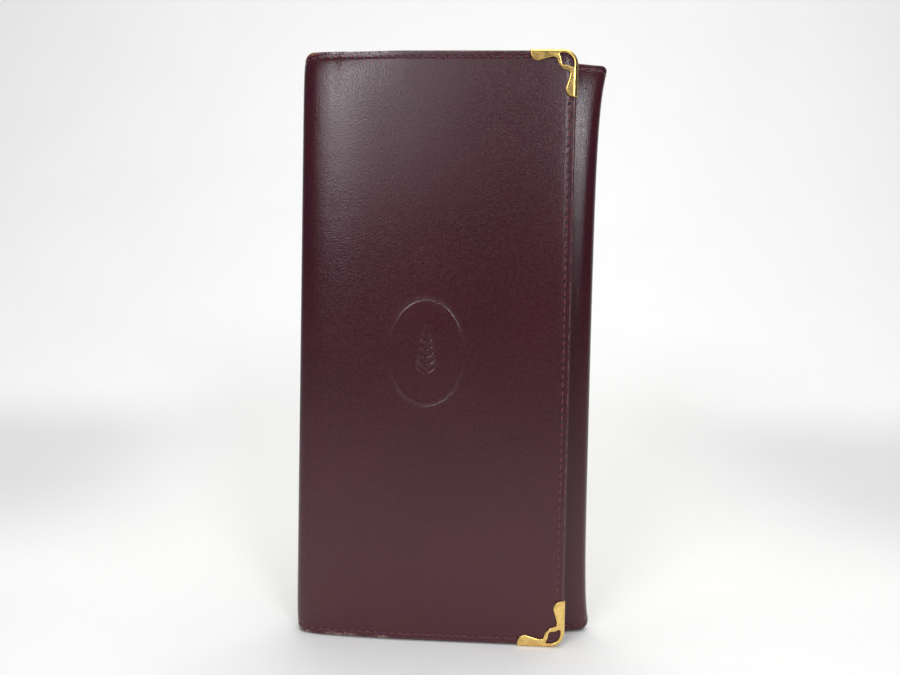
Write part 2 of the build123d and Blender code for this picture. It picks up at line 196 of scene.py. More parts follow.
def round_rise(share):
    """Height of a quarter circle, from 0 at its rim to 1."""
    return np.sqrt(np.clip(1 - (1 - np.clip(share, 0, 1)) ** 2, 0, 1))


def top_share(z, reach):
    return np.exp(-(height - z) / reach)


def bottom_share(z, reach):
    return np.exp(-z / reach)


def front_wall_y(x):
    """The outer face of the front wall, which leans inwards towards its mouth."""
    return back_y - 2 * fold_radius - tan(front_rest) * (fold_x - fold_radius - x)


def tight_side_plan(s, z):
    """Plan of the back's last part, the folded edge and the front wall, with plain arcs.

    The folded edge is pinched flat at its sewn ends, where it stands out further."""
    ends = 1.25 * top_share(z, 17 * mm) + 0.8 * bottom_share(z, 14 * mm)
    radius = fold_radius - 1.7 * mm * ends
    flare = 2.7 * mm * top_share(z, 13 * mm) + 1.9 * mm * bottom_share(z, 11 * mm)
    flare = flare + 0.9 * mm * top_share(z, 35 * mm)
    centre_x = fold_x + flare - radius * fold_reach
    turn = np.clip((s - s_fold) / fold_radius, 0, pi)
    out = np.minimum((s - s_side) / side_flat, 1)
    past_fold = (s - s_fold_end) / side_flat
    beyond = np.maximum(s - s_fold_end - side_flat, 0)
    x = side_start_x + out * (1 - np.clip(past_fold, 0, 1)) * (centre_x - side_start_x)
    x = x + radius * np.sin(turn) - beyond
    pinch = 2 * (fold_radius - radius) * smooth(1 - past_fold)
    round_y = back_y - radius + radius * np.cos(turn)
    return x, np.where(s > s_fold_end, front_wall_y(x) + pinch, round_y)


def side_plan(s, z):
    """The same plan with its bends eased into the walls."""
    return np.mean([tight_side_plan(s + shift, z) for shift in fold_ease], axis=0)


def skin_face(s, z):
    """Point of the outer face."""
    on_side = s > s_side
    side_x, side_y = side_plan(s, z)
    x = np.where(on_side, side_x, np.interp(s, run_s, run[:, 0]))
    y = np.where(on_side, side_y, np.interp(s, run_s, run[:, 1]))
    # Sewn ends of the spine pull the cover's face back
    near_spine = smooth((s - s_front_fold + 12 * mm) / (cover_leg + 8 * mm))
    rear = smooth((s - s_spine + 4 * mm) / (9 * mm))
    ends = top_share(z, 6.5 * mm) + 0.7 * bottom_share(z, 6 * mm)
    y = y + 1.5 * mm * ends * near_spine * (1 - rear)
    # Rounded ends of the spine and of the folded edge
    dip = spine_end_radius * (1 - round_rise((x - front_corner[0]) / spine_end_radius))
    dip = np.minimum(dip, spine_end_radius * 0.93)
    outermost = side_plan(np.full_like(s, s_fold + pi / 2 * fold_radius), z)[0]
    radius = np.where(z > height / 2, fold_high_radius, fold_low_radius)
    side_dip = radius * (1 - round_rise((outermost - x) / radius))
    dip = np.where(on_side, np.minimum(side_dip, radius * 0.8), dip)
    # The ends draw in: under the guards on the cover, and by the seam on the front wall
    under_guard = brass * (1 - smooth((s - s_front_fold) / cover_leg))
    on_front = smooth((s - s_fold) / (s_fold_end - s_fold))
    fall = 14 * mm
    low = np.clip(1 - z / fall, 0, 1) ** 2 * (dip + under_guard + 0.5 * mm * on_front)
    high = np.clip(1 - (height - z) / fall, 0, 1) ** 2 * (dip + under_guard + 0.6 * mm * on_front)
    return np.stack((x, y, z + low - high), -1)


def unit(vectors):
    return vectors / np.linalg.norm(vectors, axis=-1, keepdims=True)


def skin(s, z, depth):
    """Point at a depth under the outer face."""
    s, z, depth = np.broadcast_arrays(s, z, depth)
    step = 0.05 * mm
    along = skin_face(s + step, z) - skin_face(s - step, z)
    up = skin_face(s, z + step) - skin_face(s, z - step)
    return skin_face(s, z) - unit(np.cross(up, along)) * depth[..., None]


def heading(s):
    return np.interp(s, run_middles, run_headings)


def front_fold_share(s):
    """0 on the cover, 1 on the spine."""
    return np.clip((cover_heading - heading(s)) / (cover_heading - spine_heading), 0, 1)


def rear_fold_share(s):
    """0 on the spine, 1 on the back."""
    return np.clip((spine_heading - heading(s)) / spine_heading, 0, 1)


def side_fold_share(s):
    """0 on the back, 1 on the front wall."""
    return np.clip((s - s_fold) / (s_fold_end - s_fold), 0, 1)


def s_at_x(x, front=False):
    """Distance along the skin of a place on the cover, or on the front wall."""
    if front:
        return s_fold_end + side_flat + side_start_x - x
    cover_part = slice(fold_points + 1)
    return float(np.interp(-x, -run[cover_part, 0], run_s[cover_part]))


# ------------------------------------------------------------------ mesh makers


def add_object(name, data):
    thing = bpy.data.objects.new(name, data)
    bpy.context.scene.collection.objects.link(thing)
    return thing


def make_object(name, points, faces, uv=None, sharp=None, turn_out=False):
    """Object from points and faces, smooth all over, without unused points."""
    used, place = np.unique(np.concatenate([np.ravel(f) for f in faces]), return_inverse=True)
    polygons, start = [], 0
    for face in faces:
        count = len(face)
        polygons.append(place[start : start + count].tolist())
        start += count
    mesh = bpy.data.meshes.new(name)
    mesh.from_pydata(points[used].tolist(), [], polygons)
    mesh.polygons.foreach_set("use_smooth", [True] * len(mesh.polygons))
    if uv is not None:
        corner = np.zeros(len(mesh.loops), int)
        mesh.loops.foreach_get("vertex_index", corner)
        layer = mesh.uv_layers.new(name="layout")
        layer.data.foreach_set("uv", uv[used][corner].astype(np.float32).ravel())
    if sharp is not None:
        ends = np.zeros(len(mesh.edges) * 2, int)
        mesh.edges.foreach_get("vertices", ends)
        ends = ends.reshape(-1, 2)
        mark = sharp[used]
        both = (mark[ends[:, 0]] == mark[ends[:, 1]]) & (mark[ends[:, 0]] > 0)
        layer = mesh.attributes.new("sharp_edge", "BOOLEAN", "EDGE")
        layer.data.foreach_set("value", both)
    if turn_out:
        work = bmesh.new()
        work.from_mesh(mesh)
        bmesh.ops.recalc_face_normals(work, faces=work.faces)
        work.to_mesh(mesh)
        work.free()
    mesh.update()
    return add_object(name, mesh), used


def tidy_face(corners):
    """A face without repeated corners, or nothing if too few are left."""
    kept = [c for i, c in enumerate(corners) if c != corners[i - 1]]
    return [kept] if len(kept) > 2 else []


def grid_lines(low, high, step, rounded=(True, True), fine=()):
    """Places from low to high, step apart and closer at rounded edges and in fine zones."""
    x = np.linspace(low, high, 6001)
    gap = np.full_like(x, step)
    if rounded[0]:
        gap = np.minimum(gap, 0.05 * mm + 0.3 * (x - low))
    if rounded[1]:
        gap = np.minimum(gap, 0.05 * mm + 0.3 * (high - x))
    for start, end, zone_step in fine:
        away = np.maximum(np.maximum(start - x, x - end), 0)
        gap = np.minimum(gap, zone_step + 0.3 * away)
    steps = (x[1] - x[0]) * (1 / gap[1:] + 1 / gap[:-1]) / 2
    count = np.concatenate(([0], np.cumsum(steps)))
    return np.interp(np.linspace(0, count[-1], int(np.ceil(count[-1])) + 1), count, x)


def round_corner(from_side, from_end, radius):
    """Moves the points of a square corner into a quarter disc, edge to edge."""
    if not radius:
        return from_side, from_end
    p = 1 - from_side / radius
    q = 1 - from_end / radius
    inside = (p > 0) & (q > 0)
    size = np.where(inside, np.hypot(p, q), 1)
    scale = np.where(inside, np.maximum(p, q) / size, 1)
    p_new = np.where(inside, p * scale, p)
    q_new = np.where(inside, q * scale, q)
    return radius * (1 - p_new), radius * (1 - q_new)


def with_round_corners(s, z, s_range, z_range, corners):
    """The grid with the radii of corners at its two ends."""
    low = z < sum(z_range) / 2
    for start, inwards, radius in ((s_range[0], 1, corners[0]), (s_range[1], -1, corners[1])):
        from_end = inwards * (s - start)
        from_end_low, from_bottom = round_corner(from_end, z - z_range[0], radius)
        from_end_high, from_top = round_corner(from_end, z_range[1] - z, radius)
        s = start + inwards * np.where(low, from_end_low, from_end_high)
        z = np.where(low, z_range[0] + from_bottom, z_range[1] - from_top)
    return s, z


def sheet_faces(joined, open_ends):
    """Faces of two sheets of points, which are joined at the round edges, with flat
    walls at the open ends. Also gives each point's mark for the walls' sharp edges."""
    rows, columns = joined.shape
    top = np.arange(rows * columns).reshape(rows, columns)
    under = np.where(joined, top, top + rows * columns)
    faces = []
    for sheet, flip in ((top, False), (under, True)):
        quads = np.stack((sheet[:-1, :-1], sheet[:-1, 1:], sheet[1:, 1:], sheet[1:, :-1]), -1)
        quads = quads.reshape(-1, 4)
        faces.extend((quads[:, ::-1] if flip else quads).tolist())
    mark = np.zeros(2 * rows * columns, int)
    for line, is_open, flip, number in ((0, open_ends[0], True, 1), (-1, open_ends[1], False, 3)):
        if is_open:
            for j in range(columns - 1):
                wall = [top[line, j], top[line, j + 1], under[line, j + 1], under[line, j]]
                faces.extend(tidy_face(wall[::-1] if flip else wall))
            mark[top[line]] = number
            mark[under[line][~joined[line]]] = number + 1
    return faces, mark


def slab(
    name,
    s_range,
    z_range,
    depth,
    thickness,
    step=2 * mm,
    corners=(0, 0),
    open_ends=(False, False),
    relief=None,
    inner_relief=None,
    fine_s=(),
    fine_z=(),
    surface=skin,
):
    """A layer of the wallet: closed, with round edges except at its open ends.

    depth is a length or a function of s, and thickness a length or a function of
    (s, z, distance from the edge). Gives the piece and its points' s."""
    rounded = [not is_open for is_open in open_ends]
    s_lines = grid_lines(*s_range, step, rounded, fine_s)
    z_lines = grid_lines(*z_range, step, (True, True), fine_z)
    s, z = np.meshgrid(s_lines, z_lines, indexing="ij")
    edge = np.minimum(z - z_range[0], z_range[1] - z)
    if rounded[0]:
        edge = np.minimum(edge, s - s_range[0])
    if rounded[1]:
        edge = np.minimum(edge, s_range[1] - s)
    s, z = with_round_corners(s, z, s_range, z_range, corners)

    thick = thickness(s, z, edge) if callable(thickness) else thickness + 0 * s
    half = thick / 2
    bulge = half * round_rise(edge / half)
    start_depth = depth(s) if callable(depth) else depth
    outer = start_depth + half - bulge
    inner = start_depth + half + bulge
    if relief is not None:
        outer = outer - relief(s, z, edge) * np.clip(edge / half, 0, 1)
    if inner_relief is not None:
        inner = inner + inner_relief(s, z, edge) * np.clip(edge / half, 0, 1)
    points = np.concatenate((surface(s, z, outer), surface(s, z, inner))).reshape(-1, 3)
    faces, mark = sheet_faces(edge <= 1e-9, open_ends)
    uv = np.tile(np.stack((s, z), -1).reshape(-1, 2), (2, 1))
    thing, used = make_object(name, points, faces, uv, mark)
    values = np.tile(edge.ravel(), 2)[used]
    layer = thing.data.attributes.new("edge_distance", "FLOAT", "POINT")
    layer.data.foreach_set("value", values.astype(np.float32))
    return thing, np.tile(s.ravel(), 2)[used]


def bends(thing, first, second, weights):
    """The piece bends between two bodies, each point by its own share."""
    low, high = np.array(thing.bound_box).min(0), np.array(thing.bound_box).max(0)
    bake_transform(thing, first, second, start=low, end=high)
    layer = thing.data.attributes["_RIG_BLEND"]
    layer.data.foreach_set("value", np.asarray(weights, np.float32))


def follow(thing, s, wall):
    """The piece bends with the cover's, the spine's or the body's skin, by its points' s."""
    first, second, share = {
        "cover": ("cover", "spine", front_fold_share),
        "spine": ("spine", "back", rear_fold_share),
        "body": ("back", "front_wall", side_fold_share),
    }[wall]
    bends(thing, first, second, share(s))


def dress(thing, material, slot, *nodes):
    """Gives a piece its material and hides the CAD nodes it replaces; slot is not used."""
    thing.data.materials.append(material)
    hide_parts(*nodes)


def stitch_places(rows):
    """Middle, half length and depth of every stitch of a seam."""
    centres, halves, depths = [], [], []
    for start, end, depth in rows:
        axis = 0 if start[1] == end[1] else 1
        first = int(np.ceil(start[axis] / stitch_pitch - 1e-6))
        last = int(np.floor(end[axis] / stitch_pitch + 1e-6))
        for k in range(first, last + 1):
            centre, half = np.array(start, float), np.zeros(2)
            centre[axis] = k * stitch_pitch
            half[axis] = stitch_length / 2
            centres.append(centre)
            halves.append(half)
            depths.append(depth)
    return np.array(centres), np.array(halves), np.array(depths)


def stitches(name, rows, facing=1, surface=skin):
    """Threads of a seam, on every multiple of the pitch.

    rows are (start, end, depth), with start and end places in (s, z). facing is 1 on
    outer faces and -1 on inner ones."""
    rings, sides = 9, 8
    u = np.linspace(-1, 1, rings)
    centres, halves, depths = stitch_places(rows)
    lean = rng.normal(0, 0.06, len(centres))[:, None] * stitch_length / 2
    sideways = halves[:, ::-1] * (1, -1) / (stitch_length / 2) * lean
    halves = halves + sideways
    line = centres[:, None] + halves[:, None] * u[None, :, None]
    sink = depths[:, None] + facing * 0.34 * mm * u**4
    middle = surface(line[..., 0], line[..., 1], sink)
    above = surface(line[..., 0], line[..., 1], sink - 0.1 * mm)
    normal = unit(above - middle)
    across = np.cross(unit(np.gradient(middle, axis=1)), normal)
    radius = thread_radius * np.sqrt(np.clip(1.02 - np.abs(u) ** 5, 0, 1))
    angle = np.arange(sides) * 2 * pi / sides
    ring = (
        across[:, :, None] * np.cos(angle)[None, None, :, None]
        + normal[:, :, None] * np.sin(angle)[None, None, :, None]
    )
    points = middle[:, :, None] + ring * radius[None, :, None, None]
    n = len(centres)
    index = np.arange(n * rings * sides).reshape(n, rings, sides)
    around = np.roll(index, -1, 2)
    quads = np.stack((index[:, :-1], around[:, :-1], around[:, 1:], index[:, 1:]), -1)
    faces = quads.reshape(-1, 4)[:, ::-1].tolist()
    faces += index[:, 0].tolist()
    faces += index[:, -1, ::-1].tolist()
    uv = np.zeros((n, rings, sides, 2))
    uv[..., 0] = (u * stitch_length / 2)[None, :, None] + np.arange(n)[:, None, None] * 0.01
    uv[..., 1] = angle[None, None, :] * thread_radius
    thing, used = make_object(name, points.reshape(-1, 3), faces, uv.reshape(-1, 2))
    return thing, np.repeat(centres[:, 0], rings * sides)[used]


def inside_loops(points, loops):
    """Which points lie inside an outline and outside its holes."""
    inside = np.zeros(len(points), bool)
    for loop in loops:
        a, b = loop, np.roll(loop, -1, 0)
        x, y = points[:, 0, None], points[:, 1, None]
        spans = (a[:, 1] > y) != (b[:, 1] > y)
        rise = np.where(b[:, 1] == a[:, 1], 1, b[:, 1] - a[:, 1])
        cut = a[:, 0] + (y - a[:, 1]) / rise * (b[:, 0] - a[:, 0])
        inside ^= (spans & (x < cut)).sum(1) % 2 == 1
    return inside


def distance_to_loops(points, loops):
    """Distance of each point from the nearest outline."""
    best = np.full(len(points), np.inf)
    for loop in loops:
        a, b = loop, np.roll(loop, -1, 0)
        side = b - a
        length = np.maximum((side**2).sum(1), 1e-18)
        for start in range(0, len(points), 2000):
            part = points[start : start + 2000, None]
            t = np.clip(((part - a) * side).sum(-1) / length, 0, 1)
            gap = np.linalg.norm(part - a - t[..., None] * side, axis=-1).min(1)
            best[start : start + 2000] = np.minimum(best[start : start + 2000], gap)
    return best


def resample(line, spacing, closed=True):
    """The same line with evenly spaced points."""
    if closed:
        line = np.vstack((line, line[:1]))
    gone = np.concatenate(([0], np.cumsum(np.linalg.norm(np.diff(line, axis=0), axis=1))))
    count = max(int(round(gone[-1] / spacing)), 3)
    where = np.linspace(0, gone[-1], count + 1)
    if closed:
        where = where[:-1]
    return np.stack([np.interp(where, gone, line[:, k]) for k in (0, 1)], -1)


def left_of(line):
    """Directions to the left of a closed line, at its points."""
    along = np.roll(line, -1, 0) - np.roll(line, 1, 0)
    return unit(np.stack((-along[:, 1], along[:, 0]), -1))


def plate_points(loops, rim, spacing):
    """Points inside a plate: an even pattern, and lines along its rims."""
    low, high = loops[0].min(0), loops[0].max(0)
    rows = np.arange(low[1], high[1], spacing * 0.87)
    columns = np.arange(low[0], high[0], spacing)
    grid = np.stack(np.meshgrid(columns, rows, indexing="ij"), -1)
    grid[:, 1::2, 0] += spacing / 2
    inner = grid.reshape(-1, 2)
    inner = inner[inside_loops(inner, loops)]
    inner = inner[distance_to_loops(inner, loops) > rim * 1.15]
    for share in (0.12, 0.35, 0.65, 1.0):
        for loop in loops:
            for sign in (1, -1):
                ring = loop + sign * left_of(loop) * rim * share
                ring = ring[inside_loops(ring, loops)]
                gap = distance_to_loops(ring, loops)
                inner = np.vstack((inner, ring[gap > rim * share * 0.93]))
    return inner


def plate_triangles(plane, edges, loops):
    """Triangles between the points of a plate, which may move a little."""
    scale = 1000  # the triangulation works in millimetres
    found = delaunay_2d_cdt([Vector(p * scale) for p in plane], edges, [], 0, 1e-6, False)
    plane = np.array(found[0]) / scale
    triangles = np.array(found[2])
    triangles = triangles[inside_loops(plane[triangles].mean(1), loops)]
    a, b, c = (plane[triangles[:, k]] for k in range(3))
    turn = (b - a)[:, 0] * (c - a)[:, 1] - (b - a)[:, 1] * (c - a)[:, 0]
    triangles = triangles[np.abs(turn) > 1e-16]
    turn = turn[np.abs(turn) > 1e-16]
    triangles[turn < 0] = triangles[turn < 0][:, ::-1]
    return plane, triangles


def stamped(name, loops, thickness, rim, spacing, place, two_sided=True):
    """A plate cut to an outline with holes, with round rims.

    place(points, level) puts plane points into space, level from 0 to thickness."""
    loops = [resample(loop, spacing * 0.6) for loop in loops]
    edges, start = [], 0
    for loop in loops:
        count = len(loop)
        edges += [(start + i, start + (i + 1) % count) for i in range(count)]
        start += count
    plane = np.vstack((*loops, plate_points(loops, rim, spacing)))
    plane, triangles = plate_triangles(plane, edges, loops)
    gap = distance_to_loops(plane, loops)
    gap[:start] = 0
    rise = round_rise(gap / rim)
    count = len(plane)
    faces = triangles.tolist()
    under = triangles[:, ::-1]
    if two_sided:
        upper, lower = thickness / 2 * (1 + rise), thickness / 2 * (1 - rise)
        faces += np.where(gap[under] <= 0, under, under + count).tolist()
    else:
        upper, lower = thickness * (0.25 + 0.75 * rise), 0 * rise
        faces += (under + count).tolist()
        for i, j in edges:
            wall = [i, i + count, j + count, j]
            faces.append(wall if plate_is_left(loops, i, j) else wall[::-1])
    points = np.concatenate((place(plane, upper), place(plane, lower)))
    return make_object(name, points, faces, np.vstack((plane, plane)), turn_out=True)[0]


def plate_is_left(loops, i, j):
    """True if the plate lies to the left of the step from rim point i to j."""
    rims = np.vstack(loops)
    a, b = rims[i], rims[j]
    run_along = (b - a) / np.linalg.norm(b - a)
    probe = (a + b) / 2 + np.array((-run_along[1], run_along[0])) * 0.01 * mm
    return bool(inside_loops(probe[None], loops)[0])


def strip(name, line, thickness, where, place):
    """A band with a section drawn by its middle line, and round edges.

    place(points, t) puts section points into space, for each t of where."""
    on = unit(np.gradient(line, axis=0)) * thickness / 2
    side = np.stack((-on[:, 1], on[:, 0]), -1)
    angle = np.linspace(0, pi, 7)[1:-1, None]
    first = line[0] - side[0] * np.cos(angle) - on[0] * np.sin(angle)
    last = line[-1] + side[-1] * np.cos(angle) + on[-1] * np.sin(angle)
    section = np.vstack((line + side, last, (line - side)[::-1], first))
    gone = np.linspace(0, 1, len(line))
    share = np.concatenate((gone, np.ones(len(last)), gone[::-1], np.zeros(len(first))))
    points = np.array([place(section, t) for t in where])
    rows, columns = points.shape[:2]
    index = np.arange(rows * columns).reshape(rows, columns)
    around = np.roll(index, -1, 1)
    quads = np.stack((index[:-1], around[:-1], around[1:], index[1:]), -1)
    faces = quads.reshape(-1, 4).tolist() + [index[0, ::-1].tolist(), index[-1].tolist()]
    length = np.concatenate(([0], np.cumsum(np.linalg.norm(np.diff(line, axis=0), axis=1))))
    uv = np.zeros((rows, columns, 2))
    uv[..., 0] = (share * length[-1])[None]
    uv[..., 1] = np.asarray(where)[:, None]
    thing, used = make_object(
        name, points.reshape(-1, 3), faces, uv.reshape(-1, 2), turn_out=True
    )
    return thing, np.tile(share, rows)[used]


def polyline(points, radius, spacing=0.15 * mm):
    """Line through points, with its corners cut round."""
    points = [np.array(p, float) for p in points]
    line = [points[0]]
    for before, corner, after in zip(points, points[1:], points[2:]):
        back, on = before - corner, after - corner
        reach = min(radius, 0.45 * np.linalg.norm(back), 0.45 * np.linalg.norm(on))
        start = corner + back / np.linalg.norm(back) * reach
        end = corner + on / np.linalg.norm(on) * reach
        t = np.linspace(0, 1, 8)[:, None]
        line.extend((1 - t) ** 2 * start + 2 * t * (1 - t) * corner + t**2 * end)
    line.append(points[-1])
    return resample(np.array(line), spacing, closed=False)


# ------------------------------------------------------------------ materials


class Value:
    """A number, vector or colour worked out by the nodes of a shader."""

    def __init__(self, shader, socket):
        self.shader, self.socket = shader, socket

    def math(self, operation, other=0.0, clamp=False):
        made = self.shader.node("ShaderNodeMath", operation=operation, use_clamp=clamp)
        self.shader.put(made.inputs[0], self)
        self.shader.put(made.inputs[1], other)
        return Value(self.shader, made.outputs[0])

    def __add__(self, other):
        return self.math("ADD", other)

    def __sub__(self, other):
        return self.math("SUBTRACT", other)

    def __mul__(self, other):
        return self.math("MULTIPLY", other)

    def between(self, low, high, start=0.0, end=1.0):
        """Eased from start, where the value is low, to end, where it is high."""
        made = self.shader.node("ShaderNodeMapRange", interpolation_type="SMOOTHSTEP")
        limits = {"Value": self, "From Min": low, "From Max": high, "To Min": start, "To Max": end}
        for label, value in limits.items():
            self.shader.put(made.inputs[label], value)
        return Value(self.shader, made.outputs[0])

    def parts(self):
        split = self.shader.node("ShaderNodeSeparateXYZ")
        self.shader.put(split.inputs[0], self)
        return [Value(self.shader, part) for part in split.outputs]

    def vector_math(self, operation, other):
        made = self.shader.node("ShaderNodeVectorMath", operation=operation)
        self.shader.put(made.inputs[0], self)
        made.inputs["Scale" if operation == "SCALE" else 1].default_value = other
        return Value(self.shader, made.outputs["Value" if operation == "DISTANCE" else 0])


class Shader:
    """The nodes of one procedural material."""

    def __init__(self, name, **constants):
        self.material = bpy.data.materials.new(name)
        self.material.use_nodes = True
        tree = self.material.node_tree
        tree.nodes.clear()
        self.nodes, self.links = tree.nodes, tree.links
        self.surface = self.node("ShaderNodeBsdfPrincipled")
        out = self.node("ShaderNodeOutputMaterial")
        self.links.new(self.surface.outputs[0], out.inputs["Surface"])
        for label, value in constants.items():
            self.surface.inputs[label.replace("_", " ")].default_value = value

    def node(self, kind, **settings):
        made = self.nodes.new(kind)
        for label, value in settings.items():
            setattr(made, label, value)
        return made

    def put(self, socket, value):
        if isinstance(value, Value):
            self.links.new(value.socket, socket)
        else:
            socket.default_value = value

    def place(self, kind="UV"):
        """Texture place in millimetres: on the layout, or in the object's space."""
        source = self.node("ShaderNodeTexCoord").outputs[kind]
        return Value(self, source).vector_math("SCALE", 1000)

    def texture(self, kind, output, vector, **settings):
        made = self.node(kind)
        self.put(made.inputs["Vector"], vector)
        for label, value in settings.items():
            made.inputs[label].default_value = value
        return Value(self, made.outputs[output])

    def noise(self, vector, scale, detail=2.0, roughness=0.5):
        settings = {"Scale": scale, "Detail": detail, "Roughness": roughness}
        return self.texture("ShaderNodeTexNoise", "Fac", vector, **settings)

    def cells(self, vector, scale):
        return self.texture("ShaderNodeTexVoronoi", "Distance", vector, Scale=scale)

    def mix(self, share, a, b):
        """The colour a where the share is 0, and b where it is 1."""
        made = self.node("ShaderNodeMix", data_type="RGBA")
        self.put(made.inputs["Factor"], share)
        for label, colour in (("A", a), ("B", b)):
            self.put(made.inputs[label], colour if isinstance(colour, Value) else (*colour, 1))
        return Value(self, next(out for out in made.outputs if out.type == "RGBA"))

    def attribute(self, name):
        return Value(self, self.node("ShaderNodeAttribute", attribute_name=name).outputs["Fac"])

    def finish(self, colour, roughness, bump=None, strength=0.3, distance=0.1 * mm):
        self.put(self.surface.inputs["Base Color"], colour)
        self.put(self.surface.inputs["Roughness"], roughness)
        if bump is not None:
            made = self.node("ShaderNodeBump")
            made.inputs["Strength"].default_value = strength
            made.inputs["Distance"].default_value = distance
            self.put(made.inputs["Height"], bump)
            self.links.new(made.outputs[0], self.surface.inputs["Normal"])
        return self.material


def needle_holes(shader, along_s, along_z):
    """1 in the needle holes of seams that run along s at the heights along_s, and
    along z at the places along_z."""
    s, z, _ = shader.place().parts()
    pitch = stitch_pitch / mm
    holes = None
    for run_at, fixed, places in ((s, z, along_s), (z, s, along_z)):
        along = (run_at.math("DIVIDE", pitch).math("FRACT") - 0.5) * pitch
        for place in places:
            across = fixed - place / mm
            squares = [part.math("ABSOLUTE").math("POWER", 2.0) for part in (along, across)]
            row = (squares[0] + squares[1]).math("SQRT").between(0.2, 0.44, 1.0, 0.0)
            holes = holes.math("MAXIMUM", row) if holes else row
    return holes


def spot(shader, centre, radius):
    """1 at a place of the layout, fading out at the radius."""
    away = shader.place().vector_math("DISTANCE", (centre[0] / mm, centre[1] / mm, 0))
    return away.between(radius / mm * 0.3, radius / mm, 1.0, 0.0)


def smooth_calf(name, dark, light, seams_s=(), seams_z=(), edges="plain", roughness=0.4):
    """Polished calf: fine close grain, cloudy dye, needle holes darkened with painted shade and, where the
    edges are not plain, dark edge paint, or paint with rubbed and specked leather beside it. The rubbed line
    is worn leather and also a painted highlight of the rounded edge."""
    shader = Shader(name, Specular_IOR_Level=0.45)
    place = shader.place()
    clouds = shader.noise(place, 0.03, 2, 0.5)
    mottle = shader.noise(place, 0.9, 3, 0.6)
    fine = shader.noise(place, 3.6, 3, 0.6)
    creases = shader.noise(place, 0.25, 2)
    share = clouds * 0.5 + mottle + fine * 0.7
    colour = shader.mix(share.between(0.75, 1.45), dark, light)
    height_map = shader.cells(place, 2.8) * 1.5 + fine * 1.3 + creases * 1.0
    rough = mottle.between(0.3, 0.7, roughness - 0.02, roughness + 0.03)
    if seams_s or seams_z:
        holes = needle_holes(shader, seams_s, seams_z)
        # painted shade: the needle holes are darkened as if shade falls into them
        colour = shader.mix(holes * 0.85, colour, (0.006, 0.002, 0.003))
        height_map = height_map - holes * 4.0
    if edges != "plain":
        edge = shader.attribute("edge_distance")
        paint = edge.between(0.0, 0.18 * mm, 0.8, 0.0)
        colour = shader.mix(paint, colour, (0.008, 0.004, 0.006))
    if edges == "rubbed":
        # worn leather and a painted highlight: a pale patchy line along the rounded edge, where it catches
        # light
        rim = edge.between(0.2 * mm, 0.4 * mm) * edge.between(0.45 * mm, 0.7 * mm, 1.0, 0.0)
        patchy = shader.noise(place, 0.45, 4, 0.7).between(0.42, 0.62, 0.08, 0.55)
        colour = shader.mix(rim * patchy, colour, (0.24, 0.13, 0.13))
        speck = shader.cells(place, 0.22).between(0.02, 0.045, 0.5, 0.0)
        scarce = shader.noise(place, 0.31, 1).between(0.62, 0.66)
        colour = shader.mix(speck * scarce, colour, (0.30, 0.20, 0.20))
    return shader, colour, rough, height_map


def cover_leather():
    """The outer leather: lighter low down, as painted light thrown up from the floor, and worn at the
    spine's ends.
    """
    seams_s, seams_z = (seam_inset, height - seam_inset), (seam_inset, s_mouth - seam_inset)
    dark, light = (0.034, 0.0050, 0.0098), (0.057, 0.0094, 0.0150)
    shader, colour, rough, height_map = smooth_calf(
        "burgundy_calf", dark, light, seams_s, seams_z, "rubbed", 0.21
    )
    s, z, _ = shader.place().parts()
    # painted light: the leather grows lighter towards the bottom, as if lit by light bounced off the floor
    colour = shader.mix(z.between(0, 80, 0.5, 0.0), colour, (0.078, 0.0122, 0.0182))
    rough = rough - s.between(s_fold / mm, s_fold_end / mm, 0.0, 0.03)
    ragged = shader.noise(shader.place(), 1.1, 4, 0.7)
    edge = shader.attribute("edge_distance").between(0.5 * mm, 1.6 * mm, 1.0, 0.0)
    worn_s = s_spine - 5 * mm
    for place, radius, tint in (
        ((worn_s, height), 4.5 * mm, (0.30, 0.12, 0.05)),
        ((worn_s, 0), 4.5 * mm, (0.33, 0.22, 0.17)),
        ((worn_s - 13 * mm, 0), 7 * mm, (0.30, 0.19, 0.16)),
        ((worn_s - 26 * mm, 0), 3 * mm, (0.30, 0.19, 0.16)),
        # worn leather and a painted highlight: a pale line along the rounded top edge beside the spine
        ((worn_s - 15 * mm, height), 15 * mm, (0.36, 0.28, 0.28)),
    ):
        near_edge = spot(shader, place, radius) * edge
        scuff = near_edge.math("MULTIPLY", ragged.between(0.42, 0.6), clamp=True)
        colour = shader.mix(scuff, colour, tint)
        rough = rough + scuff * 0.3
    return shader.finish(colour, rough, height_map, 0.48, 0.05 * mm)


def inner_leather(name, along_s=(), along_z=(), edges="painted"):
    shader, colour, rough, height_map = smooth_calf(
        name, (0.048, 0.0095, 0.015), (0.078, 0.016, 0.024), along_s, along_z, edges, 0.36
    )
    return shader.finish(colour, rough, height_map, 0.4, 0.05 * mm)


def thread_finish():
    """Twisted thread, with the twist drawn slantwise on each stitch."""
    shader = Shader("burgundy_thread")
    place = shader.place()
    u, v, _ = place.parts()
    twist = (u * 14.0 + v * 10.0).math("SINE")
    share = twist * 0.25 + shader.noise(place, 9, 3)
    colour = shader.mix(share.between(0.2, 0.9), (0.09, 0.014, 0.026), (0.23, 0.048, 0.068))
    return shader.finish(colour, 0.6, share, 0.5, 0.05 * mm)


